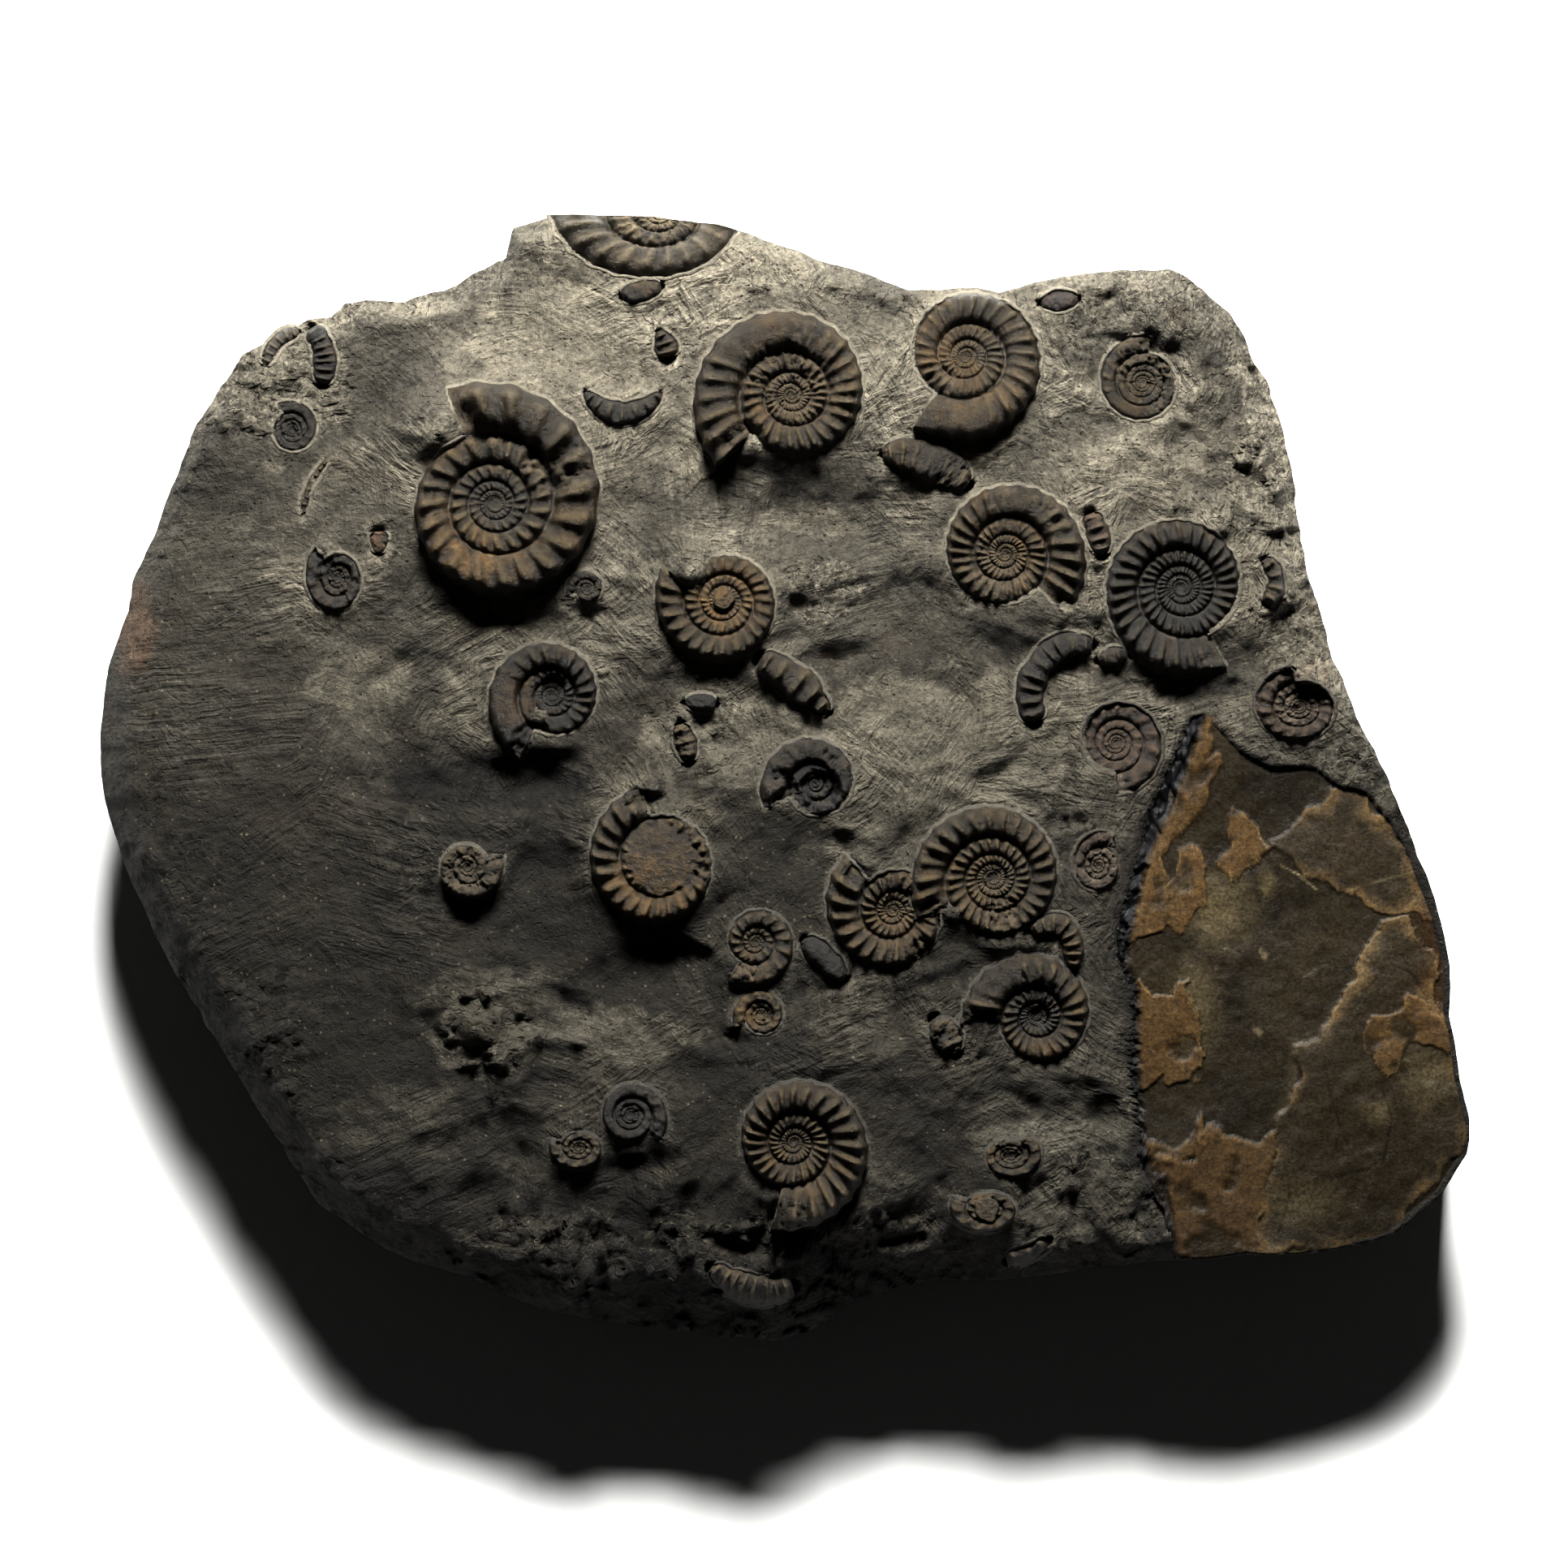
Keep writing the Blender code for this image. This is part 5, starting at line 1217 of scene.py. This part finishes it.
# Satin crystal, dark and semi-glossy where a layer's face is whole, matt and tan where it is broken.
# The grain is drawn at about 0.8 mm, near that of the crystals.
calcite, shader = new_material("brown_vein_calcite_split")
place = node(calcite, "TexCoord")["Object"]
mm = node(calcite, "VectorMath", {0: place, 3: 1000.0}, operation="SCALE")[0]
mark = {key: node(calcite, "Attribute", attribute_name=key)["Fac"] for key in marks}
cloud = node(calcite, "TexNoise", {"Vector": mm, "Scale": 0.07, "Detail": 6, "Roughness": 0.62})["Fac"]
mottle = node(calcite, "TexNoise", {"Vector": mm, "Scale": 0.4, "Detail": 7, "Roughness": 0.78})["Fac"]
grain = node(calcite, "TexNoise", {"Vector": mm, "Scale": 1.3, "Detail": 5, "Roughness": 0.8})["Fac"]
spread = node(calcite, "MapRange", {0: cloud, 1: 0.35, 2: 0.66})[0]
blotch = node(calcite, "MapRange", {0: mottle, 1: 0.48, 2: 0.7, 4: 0.6})[0]
grey_tone = node(calcite, "Mix", {0: mottle, 6: linear("#120f0a"), 7: linear("#383022")}, **MIX)[2]
whole = node(calcite, "Math", {0: mark["grey"], 1: 0.85}, operation="MULTIPLY")[0]
tan_tone = node(calcite, "MapRange", {0: mottle, 1: 0.32, 2: 0.68})[0]
tan_tone = node(calcite, "Mix", {0: tan_tone, 6: linear("#2a1e0d"), 7: linear("#4b3a20")}, **MIX)[2]
clouded = node(calcite, "Math", {0: mark["cloud"], 1: mottle}, operation="MULTIPLY")[0]
clouded = node(calcite, "MapRange", {0: clouded, 1: 0.15, 2: 0.6, 4: 0.8})[0]
rim_tone = node(calcite, "Math", {0: mark["edge"], 1: mottle}, operation="MULTIPLY")[0]
rim_tone = node(calcite, "MapRange", {0: rim_tone, 1: 0.15, 2: 0.42, 4: 0.65})[0]
crack = node(calcite, "Math", {0: mark["pale"], 1: -1.0}, operation="MULTIPLY")[0]
colour = linear("#1b1710")
for share_here, over in (
    (spread, linear("#2a2419")), (blotch, linear("#2c261b")), (whole, grey_tone),
    (clouded, linear("#4c4432")), (mark["tan"], tan_tone), (mark["rust"], linear("#352413")),
    (rim_tone, linear("#55452b")), (mark["sparry"], linear("#0f0f10")), (mark["pale"], linear("#7d725a")),
    (crack, linear("#0b0a08")),
):
    colour = node(calcite, "Mix", {0: share_here, 6: colour, 7: over}, **MIX)[2]
# Painted falloff of the lamp's light: darker towards the near side, and darker again at the shade place by
# the far border
depth = node(calcite, "SeparateXYZ", {0: mm})["Y"]
depth = node(calcite, "MapRange", {0: depth, 1: -95.0, 2: -40.0, 3: 0.62, 4: 1.0})[0]
shade = node(calcite, "Math", {0: mark["shade"], 1: -0.5, 2: depth}, operation="MULTIPLY_ADD")[0]
speckle = node(calcite, "MapRange", {0: grain, 1: 0.3, 2: 0.7, 3: 0.3, 4: 1.8})[0]
shade = node(calcite, "Math", {0: shade, 1: speckle}, operation="MULTIPLY")[0]
gloss = node(calcite, "MapRange", {0: mottle, 1: 0.3, 2: 0.7, 3: 0.26, 4: 0.36})[0]
gloss = node(calcite, "Math", {0: mark["tan"], 1: 0.25, 2: gloss}, operation="MULTIPLY_ADD")[0]
gloss = node(calcite, "Math", {0: mark["edge"], 1: 0.3, 2: gloss}, operation="MULTIPLY_ADD")[0]
relief = node(calcite, "Math", {0: mottle, 1: 1.2, 2: grain}, operation="MULTIPLY_ADD")[0]
feed(shader, {
    "Base Color": node(calcite, "VectorMath", {0: colour, 3: shade}, operation="SCALE")[0],
    "Roughness": gloss,
    "Normal": node(calcite, "Bump", {"Height": relief, "Distance": 0.0002, "Strength": 0.7})[0],
    "IOR": 1.6,
    "Specular IOR Level": 0.15,
})
points = np.vstack([top, *lines])
add_piece("calcite_sheet", points, faces, "calcite_vein", "brown_calcite", calcite, **marks)

# Floor, light and camera. A pale board, one soft lamp from the far side that rakes across the relief,
# a little light all round, and a long lens straight above.
bpy.ops.mesh.primitive_plane_add(size=6, location=(0, 0, 0))
floor = bpy.context.object
floor.name = "floor_board"
# Painted board, matt, so that it takes soft shadow and gives no shine
board, shader = new_material("matt_white_board")
feed(shader, {"Base Color": linear("#f2f2f0"), "Roughness": 0.9})
floor.data.materials.append(board)

target = Vector((0, 0, 0.04))
key = bpy.data.objects.new("key_lamp", bpy.data.lights.new("key_lamp", "AREA"))
key.data.shape = "RECTANGLE"
key.data.size = 0.42
key.data.size_y = 0.30
key.data.energy = 90.0
key.location = (0.03, 1.0, 0.81)
key.rotation_euler = (target - key.location).to_track_quat("-Z", "Y").to_euler()
bpy.context.scene.collection.objects.link(key)
world = bpy.data.worlds.new("soft_room")
world.use_nodes = True
feed(world.node_tree.nodes["Background"], {"Color": (1, 1, 1, 1), "Strength": 0.02})
bpy.context.scene.world = world
view = bpy.context.scene.view_settings
view.view_transform, view.exposure, view.gamma = "Standard", 0.2, 0.75

LENS, SENSOR = 300.0, 36.0  # millimetres
FRAME_STEPS, MIDDLE_ROW = 1932, 966
FRAME_WIDTH = FRAME_STEPS * STEP * MM  # what the picture's width spans
FRAME_HEIGHT = 0.036  # height in metres at which it spans that
camera = bpy.data.objects.new("camera", bpy.data.cameras.new("camera"))
camera.data.lens = LENS
camera.data.sensor_width = SENSOR
camera.location = (0, (ORIGIN_ROW - MIDDLE_ROW) * STEP * MM, FRAME_HEIGHT + FRAME_WIDTH * LENS / SENSOR)
bpy.context.scene.collection.objects.link(camera)
bpy.context.scene.camera = camera
